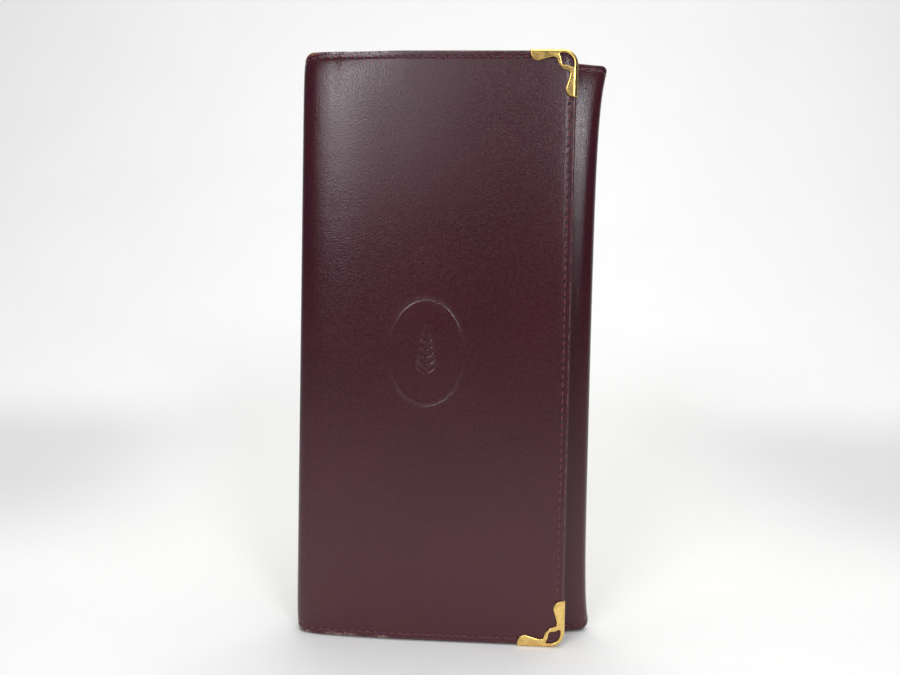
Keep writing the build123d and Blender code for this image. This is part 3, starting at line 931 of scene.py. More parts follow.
def brass_finish(name, dark, light, polish):
    """Brushed brass, with clouds of tarnish and fine scratches, and painted shade that darkens it towards
    the top.
    """
    shader = Shader(name, Metallic=1.0)
    place = shader.place("Object")
    brushed = shader.noise(place.vector_math("MULTIPLY", (1, 1, 0.12)), 4.5, 3, 0.6)
    clouds = shader.noise(place, 0.45, 4, 0.65)
    # painted shade: the brass is pushed towards the dark tarnish colour higher up
    painted_top_shade = place.parts()[2].between(60, 120, 0.0, 0.25)
    colour = shader.mix((clouds + painted_top_shade).between(0.4, 0.75), light, dark)
    scratch = shader.noise(place.vector_math("MULTIPLY", (0.5, 6, 6)), 1.3, 2, 0.7)
    dull = clouds.between(0.3, 0.7, polish, polish + 0.12)
    rough = dull + scratch.between(0.58, 0.7, 0.0, 0.12)
    return shader.finish(colour, rough, brushed + scratch * 0.5, 0.07, 0.03 * mm)


def woven(name, dark, light, pitch):
    """Plain weave on the layout, with threads pitch millimetres apart."""
    shader = Shader(name, Sheen_Weight=0.25)
    place = shader.place()
    warp, weft = ((along * (2 * pi / pitch)).math("SINE") for along in place.parts()[:2])
    share = warp * weft * 0.3 + shader.noise(place, 6, 3)
    colour = shader.mix(share.between(0.1, 0.9), dark, light)
    return shader.finish(colour, 0.8, share, 0.5, 0.08 * mm)


def grey_board():
    shader = Shader("pressed_board")
    pulp = shader.noise(shader.place("Object"), 1.5, 5, 0.7)
    colour = shader.mix(pulp, (0.12, 0.09, 0.07), (0.28, 0.22, 0.17))
    return shader.finish(colour, 0.85, pulp, 0.4, 0.1 * mm)


calf = cover_leather()
inner = inner_leather("inner_calf", edges="plain")
slot_calf = inner_leather("pocket_calf", (height / 2,))
thread = thread_finish()
gold = brass_finish("aged_brass", (0.66, 0.43, 0.13), (0.96, 0.66, 0.22), 0.2)
zip_brass = brass_finish("zip_brass", (0.50, 0.34, 0.12), (0.80, 0.58, 0.26), 0.28)
tape_weave = woven("zip_tape_weave", (0.018, 0.005, 0.008), (0.06, 0.018, 0.026), 0.45)
purse_weave = woven("purse_cloth_weave", (0.03, 0.010, 0.014), (0.075, 0.03, 0.038), 0.35)
millboard = grey_board()


# ------------------------------------------------------------------ leather shells

s_cut = s_back + 3 * mm  # the spine's skin ends here on the back
emblem_s = s_at_x(-6.9 * mm)
emblem_z = 89 * mm
crease_s = s_at_x(-35.8 * mm)
oval_radii = (11.75 * mm, 16.1 * mm)
end_rows = (seam_inset, height - seam_inset)
thread_sink = 0.22 * mm  # how deep the stitches lie


def leaf_depth(x, z, base, angle, length, width):
    """Pressed almond-shaped leaf with a raised middle rib."""
    along = ((x - base[0]) * cos(angle) + (z - base[1]) * sin(angle)) / length
    across = -(x - base[0]) * sin(angle) + (z - base[1]) * cos(angle)
    half = width / 2 * np.sin(pi * np.clip(along, 0, 1)) ** 0.8
    inside = smooth((half - np.abs(across)) / (0.24 * mm) + 0.5)
    inside = inside * (along > 0) * (along < 1)
    return inside * (1 - 0.7 * ridge(across, 0.12 * mm))


def emblem(s, z):
    """Shallow stamp: an oval line round a plain sprig of leaves."""
    x, z = emblem_s - s, z - emblem_z
    a, b = oval_radii
    ring = np.hypot(x / a, z / b)
    slope = np.hypot(x / a**2, z / b**2) / np.maximum(ring, 1e-6)
    off_line = (ring - 1) / np.maximum(slope, 1e-6)
    line = 0.14 * mm * ridge(off_line, 0.24 * mm)
    lip = 0.05 * mm * ridge(np.abs(off_line) - 0.55 * mm, 0.25 * mm)
    bottom, top = -7.8 * mm, 4.4 * mm
    stem = ridge(x, 0.17 * mm) * smooth((z - bottom) / (0.4 * mm))
    stem = stem * smooth((top + 0.4 * mm - z) / (0.4 * mm))
    sprig = leaf_depth(x, z, (0, top), pi / 2, 3.8 * mm, 1.9 * mm)
    for pair in range(5):
        level = bottom + (1.6 + 2.3 * pair) * mm
        length = (4.3 - 0.34 * pair) * mm
        for side in (-1, 1):
            angle = pi / 2 - side * radians(50 - 3 * pair)
            leaf = leaf_depth(x, z, (0, level), angle, length, 1.6 * mm)
            sprig = np.maximum(sprig, leaf)
    return lip - line - 0.13 * mm * np.maximum(sprig, stem)


def seam_relief(s, z, edge):
    """The seam pulls the leather down beside the edge."""
    groove = 0.12 * mm * ridge(edge - seam_inset, 0.5 * mm)
    return -groove - 0.3 * mm * np.exp(-edge / (2.8 * mm))


def cover_relief(s, z, edge):
    """Seams, the stamp, and a soft crease at the top, beside the spine."""
    crease = 0.2 * mm * ridge(s - crease_s, 1.3 * mm) * top_share(z, 8 * mm)
    return seam_relief(s, z, edge) + emblem(s, z) - crease


def boarded(s):
    """1 where a board stiffens the wall: on the cover and on the back."""
    on_cover = 1 - smooth((s - s_front_fold - 4 * mm) / (8 * mm))
    on_back = smooth((s - s_back) / (3 * mm)) * (1 - smooth((s - s_side - 8 * mm) / (4 * mm)))
    return on_cover + on_back


def shell_thickness(s, z, edge):
    """The leather turns in over the board at the edges."""
    return leather + board * boarded(s) * (1 - smooth((edge - turned_edge) / (0.5 * mm)))


def lining_depth(s):
    return leather + board * boarded(s)


def near(place, reach, step):
    """A zone with finer mesh lines, for grid_lines."""
    return (place - reach, place + reach, step)


seam_zones = [near(z, 0.85 * mm, 0.25 * mm) for z in (seam_middle, height - seam_middle)]


def add_layer(name, wall, material, slot, nodes, *shape, **options):
    """A layer of the skin on one of its three walls."""
    layer, s = slab(name, *shape, **options)
    dress(layer, material, slot, *nodes)
    follow(layer, s, wall)


def make_shells():
    shell = (calf, "leather_burgundy")
    ends = (0, height)
    add_layer(
        "cover_skin", "cover", *shell, ["cover_leather"],
        (0, s_spine), ends, 0, shell_thickness,
        corners=(4.2 * mm, 0),
        open_ends=(False, True),
        relief=cover_relief,
        fine_s=(
            near(seam_middle, 0.75 * mm, 0.25 * mm),
            near(emblem_s, 12.6 * mm, 0.27 * mm),
            (crease_s - 2.5 * mm, s_spine, 0.45 * mm),
        ),
        fine_z=(near(emblem_z, 17.8 * mm, 0.27 * mm), *seam_zones),
    )
    add_layer(
        "spine_skin", "spine", *shell, ["spine_leather"],
        (s_spine, s_cut), ends, 0, shell_thickness,
        step=0.45 * mm,
        open_ends=(True, True),
        relief=seam_relief,
        fine_z=seam_zones,
    )
    add_layer(
        "body_skin", "body", *shell, ["back_leather", "front_leather"],
        (s_cut, s_mouth), ends, 0, shell_thickness,
        corners=(0, 2 * mm),
        open_ends=(True, False),
        relief=seam_relief,
        fine_s=((s_fold - 3 * mm, s_fold_end + 6 * mm, 0.55 * mm),),
        fine_z=seam_zones,
    )


def make_linings():
    margin = 2.4 * mm
    lining_end = s_mouth - 1.4 * mm
    cover_zone = (s_spine - 10 * mm, s_spine, 0.6 * mm)
    side_zone = (s_fold - 3 * mm, s_fold_end + 6 * mm, 0.7 * mm)
    for wall, nodes, start, end, options in (
        ("cover", ["cover_lining"], margin, s_spine, {"fine_s": [cover_zone]}),
        ("spine", ["spine_lining"], s_spine, s_cut, {"step": 0.6 * mm}),
        ("body", ["back_lining", "front_lining"], s_cut, lining_end, {"fine_s": [side_zone]}),
    ):
        add_layer(
            f"{wall}_lining_leather", wall, inner, "leather_inner", nodes,
            (start, end), (margin, height - margin), lining_depth, lining,
            corners=(2.5 * mm if wall == "cover" else 0, 0),
            open_ends=(wall != "cover", wall != "body"),
            **options,
        )


def make_stiffeners():
    inset = turned_edge + 0.6 * mm
    for body, s_range in (
        ("cover", (inset, s_front_fold + 3 * mm)),
        ("back", (s_cut, s_side + 8 * mm)),
    ):
        name = f"{body}_stiffener"
        stiffener, _ = slab(name, s_range, (inset, height - inset), leather, board, step=4 * mm)
        dress(stiffener, millboard, "board", f"{body}_board")
        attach(stiffener, body)


def end_seams(start, end):
    """Rows of stitches along both short ends."""
    return [((start, z), (end, z), thread_sink) for z in end_rows]


def make_seams():
    guard = 12 * mm  # the seams stop short of the corner guards
    gap = 0.5 * mm
    mouth_s = s_mouth - seam_inset
    free_row = ((seam_inset, guard), (seam_inset, height - guard), thread_sink)
    mouth_row = ((mouth_s, 4 * mm), (mouth_s, height - 4 * mm), thread_sink)
    cover_rows = [*end_seams(guard, s_spine - gap), free_row]
    front_rows = [*end_seams(s_fold + 1 * mm, mouth_s - 1 * mm), mouth_row]
    for part, wall, nodes, rows in (
        ("cover", "cover", ["cover_stitching"], cover_rows),
        ("spine", "spine", [], end_seams(s_spine + gap, s_cut)),
        ("back", None, ["back_stitching"], end_seams(s_cut + gap, s_fold)),
        ("front", "body", ["front_stitching"], front_rows),
    ):
        seam, s = stitches(f"{part}_thread", rows)
        dress(seam, thread, "thread", *nodes)
        if wall:
            follow(seam, s, wall)
        else:
            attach(seam, "back")


make_shells()
make_linings()
make_stiffeners()
make_seams()


# ------------------------------------------------------------------ corner guards

guard_arm = 14.35 * mm
guard_corner = 4.6 * mm
roll_radius = cover_edge / 2 + brass
back_lip = 1.0 * mm
unrolled = pi * roll_radius + back_lip  # from the flat front, round the edge, to the lip's end


def cover_plane(s, z, depth):
    """Point of the cover's flat part."""
    outwards = direction(cover_heading + pi / 2)
    plan = cover_end + s[..., None] * cover_in - depth[..., None] * outwards
    return np.concatenate((plan, z[..., None]), -1)


def rolled(points, level):
    """Folds a flat guard round the cover's edges.

    Points are distances in from the two edges, of the sheet before it is folded.
    Gives distances in from the edges and the depth."""
    a, b = points[:, 0], points[:, 1]
    corner = (a < guard_corner) & (b < guard_corner)
    to_side = np.where(b >= guard_corner, 1.0, 0.0)
    p = np.where(corner, guard_corner - a, to_side)
    q = np.where(corner, guard_corner - b, 1 - to_side)
    reach = np.maximum(np.hypot(p, q), 1e-9)
    p, q = p / reach, q / reach
    flat_start = guard_corner - roll_radius
    straight = np.where(b >= guard_corner, roll_radius - a, roll_radius - b)
    beyond = np.maximum(np.where(corner, reach - flat_start, straight), 0)
    angle = np.minimum(beyond / roll_radius, pi)
    radius = roll_radius - brass + level
    shift = radius * np.sin(angle) - beyond - np.maximum(beyond - pi * roll_radius, 0)
    depth = cover_edge / 2 - radius * np.cos(angle)
    return a - p * shift, b - q * shift, depth


def both_halves(half, mirror):
    """An outline and its mirror image, joined where the half ends."""
    return [*half, *[mirror(a, b) for a, b in half[-2::-1]]]


def guard_outline():
    """Unfolded sheet of a guard: two arms with lobed ends, and a strap across the corner."""
    half = [
        (guard_arm / mm, 1.3),
        (13.7, 2.85),
        (12.1, 3.6),
        (10.2, 3.15),
        (8.7, 2.7),
        (7.6, 2.5),
        (6.7, 2.8),
        (6.25, 3.6),
        (5.9, 4.6),
        (5.25, 5.25),
    ]
    scallop = spline(both_halves(half, lambda a, b: (b, a)))
    lip = (roll_radius - unrolled) / mm
    arc_angle = np.linspace(pi, 1.5 * pi, 40)
    radius = guard_corner / mm - lip
    arc = guard_corner / mm + radius * np.stack((np.cos(arc_angle), np.sin(arc_angle)), -1)
    arm = guard_arm / mm
    return np.vstack((scallop, [(1.3, arm), (lip, arm)], arc, [(arm, lip)])) * mm


def guard_window():
    """Opening between the strap and the corner, like a leaf with a notch."""
    side = [(5.62, 1.75), (5.3, 2.4), (4.98, 3.15), (4.95, 3.9), (4.65, 4.65)]
    strap_half = spline(side)
    mirrored = strap_half[::-1, ::-1][1:]
    tip = spline([(4.6, 1.3), (5.3, 1.32), side[0]])[1:-1]
    angle = np.linspace(pi, 1.5 * pi, 30)
    rim = 3.3
    arc = guard_corner / mm + rim * np.stack((np.cos(angle), np.sin(angle)), -1)
    return np.vstack((strap_half, mirrored, tip[::-1, ::-1], arc, tip)) * mm


def spline(points, steps=8):
    """Smooth line through points."""
    points = np.array(points, float)
    padded = np.vstack((2 * points[0] - points[1], points, 2 * points[-1] - points[-2]))
    line = []
    for p0, p1, p2, p3 in zip(padded, padded[1:], padded[2:], padded[3:]):
        for t in np.arange(steps) / steps:
            bent = 2 * p1 + (p2 - p0) * t + (2 * p0 - 5 * p1 + 4 * p2 - p3) * t**2
            line.append((bent + (3 * p1 - p0 - 3 * p2 + p3) * t**3) / 2)
    line.append(points[-1])
    return np.array(line)


def make_guards():
    loops = [guard_outline(), guard_window()]
    for end_name, base, up in (("bottom", 0, 1), ("top", height, -1)):

        def place(points, level):
            a, b, depth = rolled(points, level)
            return cover_plane(a - brass, base + up * b, depth)

        name = f"corner_guard_{end_name}"
        guard = stamped(f"{name}_brass", loops, brass, 0.34 * mm, 0.36 * mm, place, False)
        dress(guard, gold, "brass", name)
        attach(guard, "cover")


# ------------------------------------------------------------------ pockets

slot_leather = 0.5 * mm
slip_leather = 0.4 * mm
pocket_margin = 4 * mm
pocket_crease = 1.3 * mm  # from a pocket's free edge to the line pressed beside it
slots_s_end = s_at_x(-37 * mm)
slip_depth = cover_edge + lining
card_slots = {}  # where each slot's free edge is, and its depth under the outer face
for order, which in enumerate(("rear", "middle", "front")):
    start = (14 + 10 * order) * mm
    card_slots[which] = (start, slip_depth + slip_leather + order * slot_leather)


def crease_from(start):
    """A pressed line beside the free edge of a pocket."""

    def relief(s, z, edge):
        return -0.12 * mm * ridge(s - start - pocket_crease, 0.2 * mm)

    return relief


def make_card_pockets():
    z_range = (pocket_margin, height - pocket_margin)
    layers = [("cover_slip_pocket", 8 * mm, slip_depth, slip_leather)]
    for which, (start, depth) in card_slots.items():
        layers.append((f"card_slot_{which}", start, depth, slot_leather))
    for node, start, depth, thickness in layers:
        pocket, s = slab(
            f"{node}_leather",
            (start, slots_s_end),
            z_range,
            depth,
            thickness,
            corners=(2 * mm, 1 * mm),
            inner_relief=crease_from(start),
            fine_s=(near(start + pocket_crease, 0.5 * mm, 0.15 * mm),),
        )
        dress(pocket, slot_calf, "leather_inner", node)
        follow(pocket, s, "cover")

    middle = height / 2
    rows, covered = [], slots_s_end
    for start, depth in reversed(card_slots.values()):
        face = depth + slot_leather
        rows.append(((start + 1 * mm, middle), (covered - 1.5 * mm, middle), face - 0.02 * mm))
        covered = start
    seam, s = stitches("card_slot_thread", rows, facing=-1)
    dress(seam, thread, "thread", "card_slot_stitching")
    follow(seam, s, "cover")


pocket_s = (s_at_x(33.3 * mm, True), s_at_x(-26 * mm, True))
pocket_rows = (pocket_margin + seam_inset, height - pocket_margin - seam_inset)


def pocket_relief(s, z, edge):
    sewn = np.minimum(edge, pocket_s[1] - s)
    near_mouth = s - pocket_s[0] < 3 * mm
    groove = 0.12 * mm * ridge(sewn - seam_inset, 0.4 * mm)
    crease = 0.1 * mm * ridge(s - pocket_s[0] - pocket_crease, 0.2 * mm)
    return -np.where(near_mouth, crease, groove)


def make_front_pocket():
    finish = inner_leather("sewn_pocket_calf", pocket_rows, (pocket_s[1] - seam_inset,))
    pocket, _ = slab(
        "front_pocket_leather",
        pocket_s,
        (pocket_margin, height - pocket_margin),
        -slot_leather,
        slot_leather,
        corners=(2 * mm, 2 * mm),
        relief=pocket_relief,
        fine_s=(
            near(pocket_s[0] + pocket_crease, 0.5 * mm, 0.15 * mm),
            near(pocket_s[1] - seam_middle, 0.85 * mm, 0.25 * mm),
        ),
        fine_z=[near(z, 0.8 * mm, 0.25 * mm) for z in pocket_rows],
    )
    dress(pocket, finish, "leather_inner", "front_pocket")
    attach(pocket, "front_wall")
    side = pocket_s[1] - seam_inset
    depth = -slot_leather + 0.12 * mm
    rows = [((pocket_s[0] + 2 * mm, z), (side - 1 * mm, z), depth) for z in pocket_rows]
    rows.append(((side, pocket_margin + 3 * mm), (side, height - pocket_margin - 3 * mm), depth))
    seam, _ = stitches("front_pocket_thread", rows)
    dress(seam, thread, "thread", "front_pocket_stitching")
    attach(seam, "front_wall")


# ------------------------------------------------------------------ coin purse

rear_row, front_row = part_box("zip_teeth_rear"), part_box("zip_teeth_front")
chain_near = rear_row[0].x
chain_far = rear_row[1].x
purse_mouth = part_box("purse_rear_wall")[0].x
purse_end = 37.5 * mm
purse_thickness = 2.8 * mm
purse_leather = 0.7 * mm
purse_inside = purse_thickness / 2 - purse_leather - 0.15 * mm  # from its middle to the cloth
purse_seam = purse_mouth + 1.6 * mm
bag_start, bag_end = -27 * mm, 36 * mm
swing = (side_pivot[0] - chain_near) * tan(purse_rest)
purse_middle_y = (rear_row[0].y + front_row[1].y) / 2 + swing


def purse_point(x, across, z):
    """Point of the purse, across being the distance from its middle to the back."""
    x, across, z = np.broadcast_arrays(x, across, z)
    out_x, out_y = x - side_pivot[0], purse_middle_y + across - side_pivot[1]
    turned_x = side_pivot[0] + out_x * cos(purse_rest) - out_y * sin(purse_rest)
    turned_y = side_pivot[1] + out_x * sin(purse_rest) + out_y * cos(purse_rest)
    return np.stack((turned_x, turned_y, z), -1)


def purse_layer(x, z, depth):
    """Point at a depth under the purse's rear face."""
    return purse_point(x, purse_thickness / 2 - depth, z)


def purse_relief(x, z, edge):
    groove = 0.1 * mm * ridge(x - purse_seam, 0.35 * mm)
    return -groove - 0.1 * mm * np.exp(-edge / (1.2 * mm))


def purse_section(points, z):
    return purse_point(points[:, 0], points[:, 1], z)


def make_purse():
    z_range = (pocket_margin, height - pocket_margin)
    for side, depth, facing in (("rear", 0, 1), ("front", purse_thickness - purse_leather, -1)):
        wall, _ = slab(
            f"purse_{side}_leather",
            (purse_mouth, purse_end),
            z_range,
            depth,
            purse_leather,
            corners=(1.5 * mm, 11 * mm),
            relief=purse_relief if side == "rear" else None,
            inner_relief=purse_relief if side == "front" else None,
            fine_s=(near(purse_seam, 0.8 * mm, 0.25 * mm),),
            surface=purse_layer,
        )
        dress(wall, slot_calf, "leather_inner", f"purse_{side}_wall")
        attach(wall, "coin_purse")
        face = 0.06 * mm if side == "rear" else purse_thickness - 0.06 * mm
        row = ((purse_seam, 6 * mm), (purse_seam, height - 6 * mm), face)
        seam, _ = stitches(f"purse_{side}_thread", [row], facing, purse_layer)
        dress(seam, thread, "thread")
        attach(seam, "coin_purse")

    rear_line = [(bag_start, purse_inside), (bag_end - 1.5 * mm, purse_inside)]
    front_line = [(x, -across) for x, across in rear_line[::-1]]
    bag_line = polyline([*rear_line, (bag_end, 0), *front_line], 1.2 * mm, 0.6 * mm)
    levels = np.linspace(pocket_margin + 1 * mm, height - pocket_margin - 1 * mm, 40)
    bag, _ = strip("purse_bag_cloth", bag_line, 0.2 * mm, levels, purse_section)
    dress(bag, purse_weave, "purse_cloth", "purse_lining")
    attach(bag, "coin_purse")


def merged(name, meshes):
    """One object from (points, faces, uv) parts."""
    points, faces, uv, start = [], [], [], 0
    for part_points, part_faces, part_uv in meshes:
        points.append(part_points)
        uv.append(part_uv)
        faces += [[corner + start for corner in face] for face in part_faces]
        start += len(part_points)
    return make_object(name, np.vstack(points), faces, np.vstack(uv))[0]


def mesh_of(thing):
    """Points, faces and layout of an object, which is then removed."""
    mesh = thing.data
    points = np.array([v.co for v in mesh.vertices])
    faces = [list(p.vertices) for p in mesh.polygons]
    uv = np.zeros((len(points), 2))
    for loop, at in zip(mesh.loops, mesh.uv_layers[0].data):
        uv[loop.vertex_index] = at.uv
    bpy.data.objects.remove(thing)
    return points, faces, uv


def rounded_box(width, length, radius):
    """Outline of a rectangle with round corners, about its middle."""
    line = []
    for turn, (sx, sy) in enumerate(((1, 1), (-1, 1), (-1, -1), (1, -1))):
        angle = np.linspace(turn * pi / 2, (turn + 1) * pi / 2, 7)
        centre = np.array((sx * (width / 2 - radius), sy * (length / 2 - radius)))
        line.append(centre + radius * np.stack((np.cos(angle), np.sin(angle)), -1))
    return np.vstack(line)


def across_zip(near_x, z, thickness):
    """Puts plates of the zip up: plane points are (across, up) from z, the plate's
    outer face towards the spine."""

    def place(points, level):
        return purse_point(near_x + thickness - level, points[:, 0], z + points[:, 1])

    return place


tape_edge_x = chain_near + 0.6 * mm  # the tape's edge lies a little behind the teeth's face
teeth_bottom = rear_row[0].z
tooth_pitch = 1.5 * mm
tooth_count = int(round((rear_row[1].z - teeth_bottom) / tooth_pitch))
tooth_depth = chain_far - chain_near


def tooth_outline(towards_back):
    """A tooth that grips the tape, with a neck and a round head near the middle."""
    half = [(1.0, 0.33), (0.62, 0.35), (0.45, 0.2), (0.3, 0.31), (0.12, 0.2)]
    outline = np.array([*half, *[(a, -b) for a, b in half[::-1]]]) * mm
    return outline * (towards_back, 1)


def make_zip_tape(side, towards_back):
    """The tape, from inside the purse to the teeth, with its edge turned to the middle."""
    inner_line, outer, grip = (towards_back * y for y in (purse_inside, 1.7 * mm, 0.85 * mm))
    line = polyline(
        [
            (chain_near + 9.4 * mm, inner_line),
            (chain_near + 4.4 * mm, inner_line),
            (chain_near + 2.0 * mm, outer),
            (tape_edge_x, outer),
            (tape_edge_x, grip),
        ],
        0.5 * mm,
    )
    levels = np.linspace(6 * mm, height - 6 * mm, 60)
    tape, _ = strip(f"zip_tape_{side}_weave", line, 0.3 * mm, levels, purse_section)
    dress(tape, tape_weave, "zip_tape", f"zip_tape_{side}")
    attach(tape, "coin_purse")


def make_zip_row(side, towards_back):
    place = across_zip(chain_near, 0, tooth_depth)
    outline = tooth_outline(towards_back)
    tooth = stamped("tooth", [outline], tooth_depth, 0.12 * mm, 0.2 * mm, place)
    points, faces, uv = mesh_of(tooth)
    stagger = 0.25 if side == "rear" else 0.75
    levels = teeth_bottom + (np.arange(tooth_count) + stagger) * tooth_pitch
    copies = [(points + (0, 0, level), faces, uv) for level in levels]
    row = merged(f"zip_row_{side}", copies)
    dress(row, zip_brass, "brass", f"zip_teeth_{side}")
    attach(row, "coin_purse")


def make_zip_stops():
    """One wide stop at the bottom of the zip, and two narrow ones at its top."""
    low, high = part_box("zip_stops")
    stop_depth = tooth_depth + 0.2 * mm
    stops = []
    for across, z, width in (
        (0, low.z + 1 * mm, 2.4 * mm),
        (0.75 * mm, high.z - 1 * mm, 0.95 * mm),
        (-0.75 * mm, high.z - 1 * mm, 0.95 * mm),
    ):
        outline = rounded_box(width, 1.9 * mm, 0.3 * mm) + (across, 0)
        place = across_zip(chain_near - 0.1 * mm, z, stop_depth)
        stops.append(mesh_of(stamped("stop", [outline], stop_depth, 0.25 * mm, 0.25 * mm, place)))
    stop = merged("zip_end_stops", stops)
    dress(stop, zip_brass, "brass", "zip_stops")
    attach(stop, "coin_purse")


def make_zip():
    for side, towards_back in (("rear", 1), ("front", -1)):
        make_zip_tape(side, towards_back)
        make_zip_row(side, towards_back)
    make_zip_stops()


def make_slider():
    low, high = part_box("zip_slider")
    plate_x = low.x + 1.6 * mm
    half = [(0, 3.5), (1.5, 3.3), (2.0, 2.3), (1.75, 0.6), (1.35, -1.8), (1.1, -3.1), (0, -3.5)]
    shield = spline(both_halves(half, lambda a, b: (-a, b)))[:-1] * mm
    parts = []
    plates = ((shield, plate_x, 0.8 * mm), (shield * (0.62, 0.97), chain_far + 0.25 * mm, 0.6 * mm))
    for outline, x, thickness in plates:
        place = across_zip(x, (low.z + high.z) / 2, thickness)
        parts.append(mesh_of(stamped("plate", [outline], thickness, 0.28 * mm, 0.3 * mm, place)))
    post_depth = chain_far + 0.5 * mm - plate_x
    place = across_zip(plate_x + 0.4 * mm, high.z - 1.4 * mm, post_depth)
    post = rounded_box(0.5 * mm, 1.9 * mm, 0.22 * mm)
    parts.append(mesh_of(stamped("post", [post], post_depth, 0.1 * mm, 0.2 * mm, place)))
    foot_x, arch_x = plate_x + 0.3 * mm, low.x + 0.3 * mm
    bridge = polyline(
        [
            (foot_x, low.z + 1.3 * mm),
            (arch_x, low.z + 1.5 * mm),
            (arch_x, high.z - 1.6 * mm),
            (foot_x, high.z - 1.3 * mm),
        ],
        0.9 * mm,
    )

    def place_bridge(points, across):
        return purse_point(points[:, 0], across, points[:, 1])

    spread = 0.5 * mm * np.sin(np.linspace(-pi / 2, pi / 2, 9))
    loop, _ = strip("bridge", bridge, 0.6 * mm, spread, place_bridge)
    parts.append(mesh_of(loop))
    slider = merged("zip_slider_body", parts)
    dress(slider, zip_brass, "brass", "zip_slider")
    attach(slider, "slider")


def make_puller():
    low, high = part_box("zip_puller")
    length = (high.z - low.z) / mm
    half = [
        (0, 0), (0.95, -0.12), (1.38, -0.9), (1.38, -2.6), (0.95, -4.0), (0.8, -5.5),
        (1.1, -length + 4.6), (1.4, -length + 2.2), (0.95, -length + 0.35), (0, -length),
    ]
    outline = spline(both_halves(half, lambda a, b: (-a, b)))[:-1] * mm
    slot_hole = rounded_box(1.6 * mm, 2.05 * mm, 0.45 * mm) - (0, 1.825 * mm)
    eye = rounded_box(1.1 * mm, 1.1 * mm, 0.549 * mm) - (0, (length - 1.9) * mm)
    thickness = high.x - low.x
    place = across_zip(low.x, high.z, thickness)
    puller = stamped(
        "zip_puller_tab", [outline, slot_hole, eye], thickness, 0.24 * mm, 0.26 * mm, place
    )
    dress(puller, zip_brass, "brass", "zip_puller")
    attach(puller, "puller")


# ------------------------------------------------------------------ pleats


def make_pleats():
    """Thin leather folded inwards between the walls, at both short ends."""
    gap, inset, deep = 1.1 * mm, 0.28 * mm, 11.7 * mm
    fold_line = polyline(
        [(inset, 0), (inset, deep), (gap - inset, deep), (gap - inset, 0)], 0.35 * mm, 0.25 * mm
    )
    first_x, last_x = purse_mouth + 2.6 * mm, 33 * mm  # clear of the purse's seam and of the fold
    columns = np.linspace(first_x, last_x, 24)
    lined = leather + lining

    def back_face(x):
        return back_y - lined - board

    def purse_rear_face(x):
        return purse_point(x, purse_thickness / 2, 0)[1]

    def purse_front_face(x):
        return purse_point(x, -purse_thickness / 2, 0)[1]

    def front_face(x):
        return front_wall_y(x) + lined

    from_end = 1 * mm
    # low_share: how far the edge on the first face already moves with the second body. The
    # purse swings half as far as the front wall, so its share of the front pleats is 0.5.
    for which, first, second, bodies, low_share in (
        ("rear", back_face, purse_rear_face, ("back", "coin_purse"), 0.0),
        ("front", purse_front_face, front_face, ("back", "front_wall"), 0.5),
    ):
        for end_name, base, up in (("bottom", from_end, 1), ("top", height - from_end, -1)):

            def place(points, x):
                start, end = first(x), second(x)
                y = start + points[:, 0] / gap * (end - start)
                return np.stack((np.full(len(y), x), y, base + up * points[:, 1]), -1)

            name = f"gusset_{which}_{end_name}"
            pleat, share = strip(f"{name}_leather", fold_line, 0.28 * mm, columns, place)
            dress(pleat, inner, "leather_inner", name)
            bends(pleat, *bodies, low_share + (1 - low_share) * smooth(share))


make_guards()
make_card_pockets()
make_front_pocket()
make_purse()
make_zip()
make_slider()
make_puller()
make_pleats()


# ------------------------------------------------------------------ camera, floor, light


def make_camera():
    camera = bpy.data.cameras.new("camera")
    camera.lens = 33
    camera.sensor_width = 36
    camera.clip_start = 0.01
    thing = add_object("camera", camera)
    thing.location = (0.33 * mm, -256.0 * mm, 103 * mm)
    pitch, roll = radians(-2.15), radians(1.1)
    thing.rotation_mode = "XYZ"
    look = Euler((pi / 2 + pitch, 0, 0)).to_matrix() @ Euler((0, 0, roll)).to_matrix()
    thing.rotation_euler = look.to_euler()
    bpy.context.scene.camera = thing


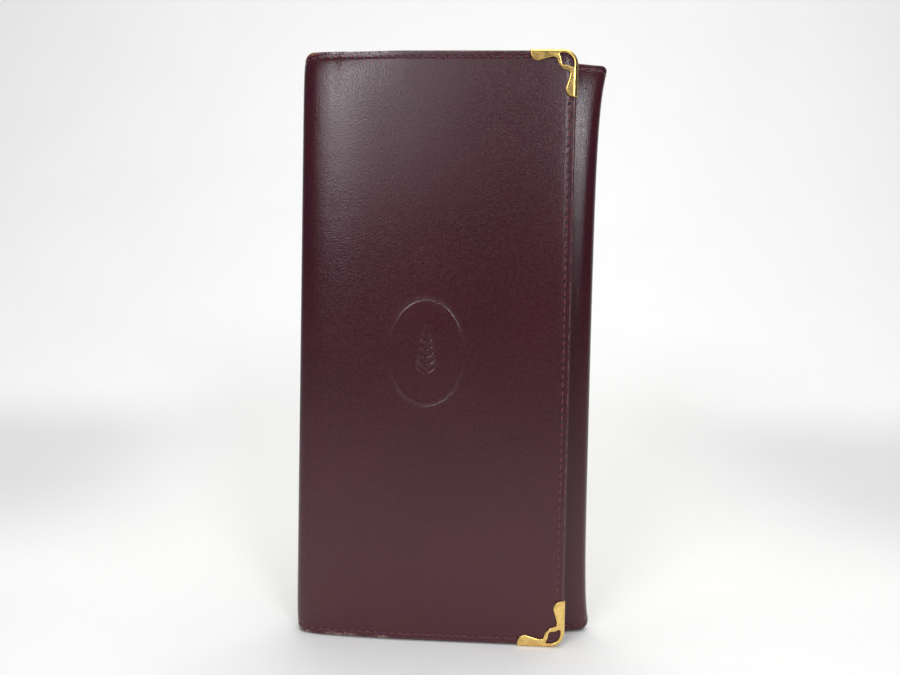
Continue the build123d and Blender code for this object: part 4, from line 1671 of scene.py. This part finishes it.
def make_stage():
    """Pale floor that rises softly into a backdrop, with painted shade at its sides and far in front."""
    front, wall, radius, top, half = -1.4, 0.55, 0.45, 2.2, 2.4
    profile = [(front, 0.0), (wall - radius, 0.0)]
    for k in range(1, 17):
        angle = k / 16 * pi / 2
        profile.append((wall - radius + radius * sin(angle), radius * (1 - cos(angle))))
    profile.append((wall, top))
    points = [(x, y, z) for y, z in profile for x in (-half, half)]
    faces = [(2 * k, 2 * k + 1, 2 * k + 3, 2 * k + 2) for k in range(len(profile) - 1)]
    mesh = bpy.data.meshes.new("floor")
    mesh.from_pydata(points, [], faces)
    mesh.polygons.foreach_set("use_smooth", [True] * len(faces))
    floor = add_object("floor", mesh)
    shader = Shader("pale_floor")
    place = shader.place("Object")
    painted_shade_grey = (0.55, 0.55, 0.55)
    tone = shader.mix(shader.noise(place, 0.01, 3), (0.81, 0.81, 0.79), (0.85, 0.85, 0.83))
    x, y, _ = place.parts()
    # painted shade: soft grey bands at both sides of the backdrop's curve
    aside = x.math("ABSOLUTE").between(100, 230)
    band = aside * (y.between(30, 190) * y.between(225, 305, 1.0, 0.0))
    tone = shader.mix(band * 0.62, tone, painted_shade_grey)
    # painted shade: the floor is darker at the sides close to the front
    tone = shader.mix(aside * y.between(-30, 60, 0.35, 0.0), tone, painted_shade_grey)
    # painted shade: the floor turns dark far in front, standing in for a dark room beyond it
    tone = shader.mix(y.between(-560, -210, 1.0, 0.0), tone, (0.16, 0.16, 0.17))
    mesh.materials.append(shader.finish(tone, 0.7))


def softbox(name, place, target, size, power, colour):
    light = bpy.data.lights.new(name, "AREA")
    light.shape = "RECTANGLE"
    light.size, light.size_y = size
    light.energy = power
    light.color = colour
    thing = add_object(name, light)
    thing.location = place
    aim = Vector(target) - Vector(place)
    thing.rotation_euler = aim.to_track_quat("-Z", "Y").to_euler()


def make_lights():
    """Two soft windows, whose reflections show on the spine and on the folded edge, and
    two lamps above."""
    daylight, lamp = (0.95, 0.96, 1.0), (1.0, 0.985, 0.955)
    softbox("window", (-0.44, -0.86, 0.515), (-0.03, 0, 0.15), (0.36, 0.25), 4.1, daylight)
    softbox("overhead", (0.1, 0.0, 1.15), (0, 0, 0.09), (1.3, 0.8), 9, lamp)
    softbox("side", (0.34, -0.89, 0.52), (0.04, 0, 0.165), (0.2, 0.28), 3.6, daylight)
    softbox("backdrop", (0.05, 0.0, 0.9), (0.05, 0.55, 0.35), (1.6, 0.3), 2.2, lamp)
    world = bpy.data.worlds.new("room")
    world.use_nodes = True
    sky = world.node_tree.nodes["Background"].inputs
    sky["Color"].default_value = (0.6, 0.68, 1.0, 1)
    sky["Strength"].default_value = 0.12
    bpy.context.scene.world = world
    bpy.context.scene.view_settings.view_transform = "Standard"


make_camera()
make_stage()
make_lights()
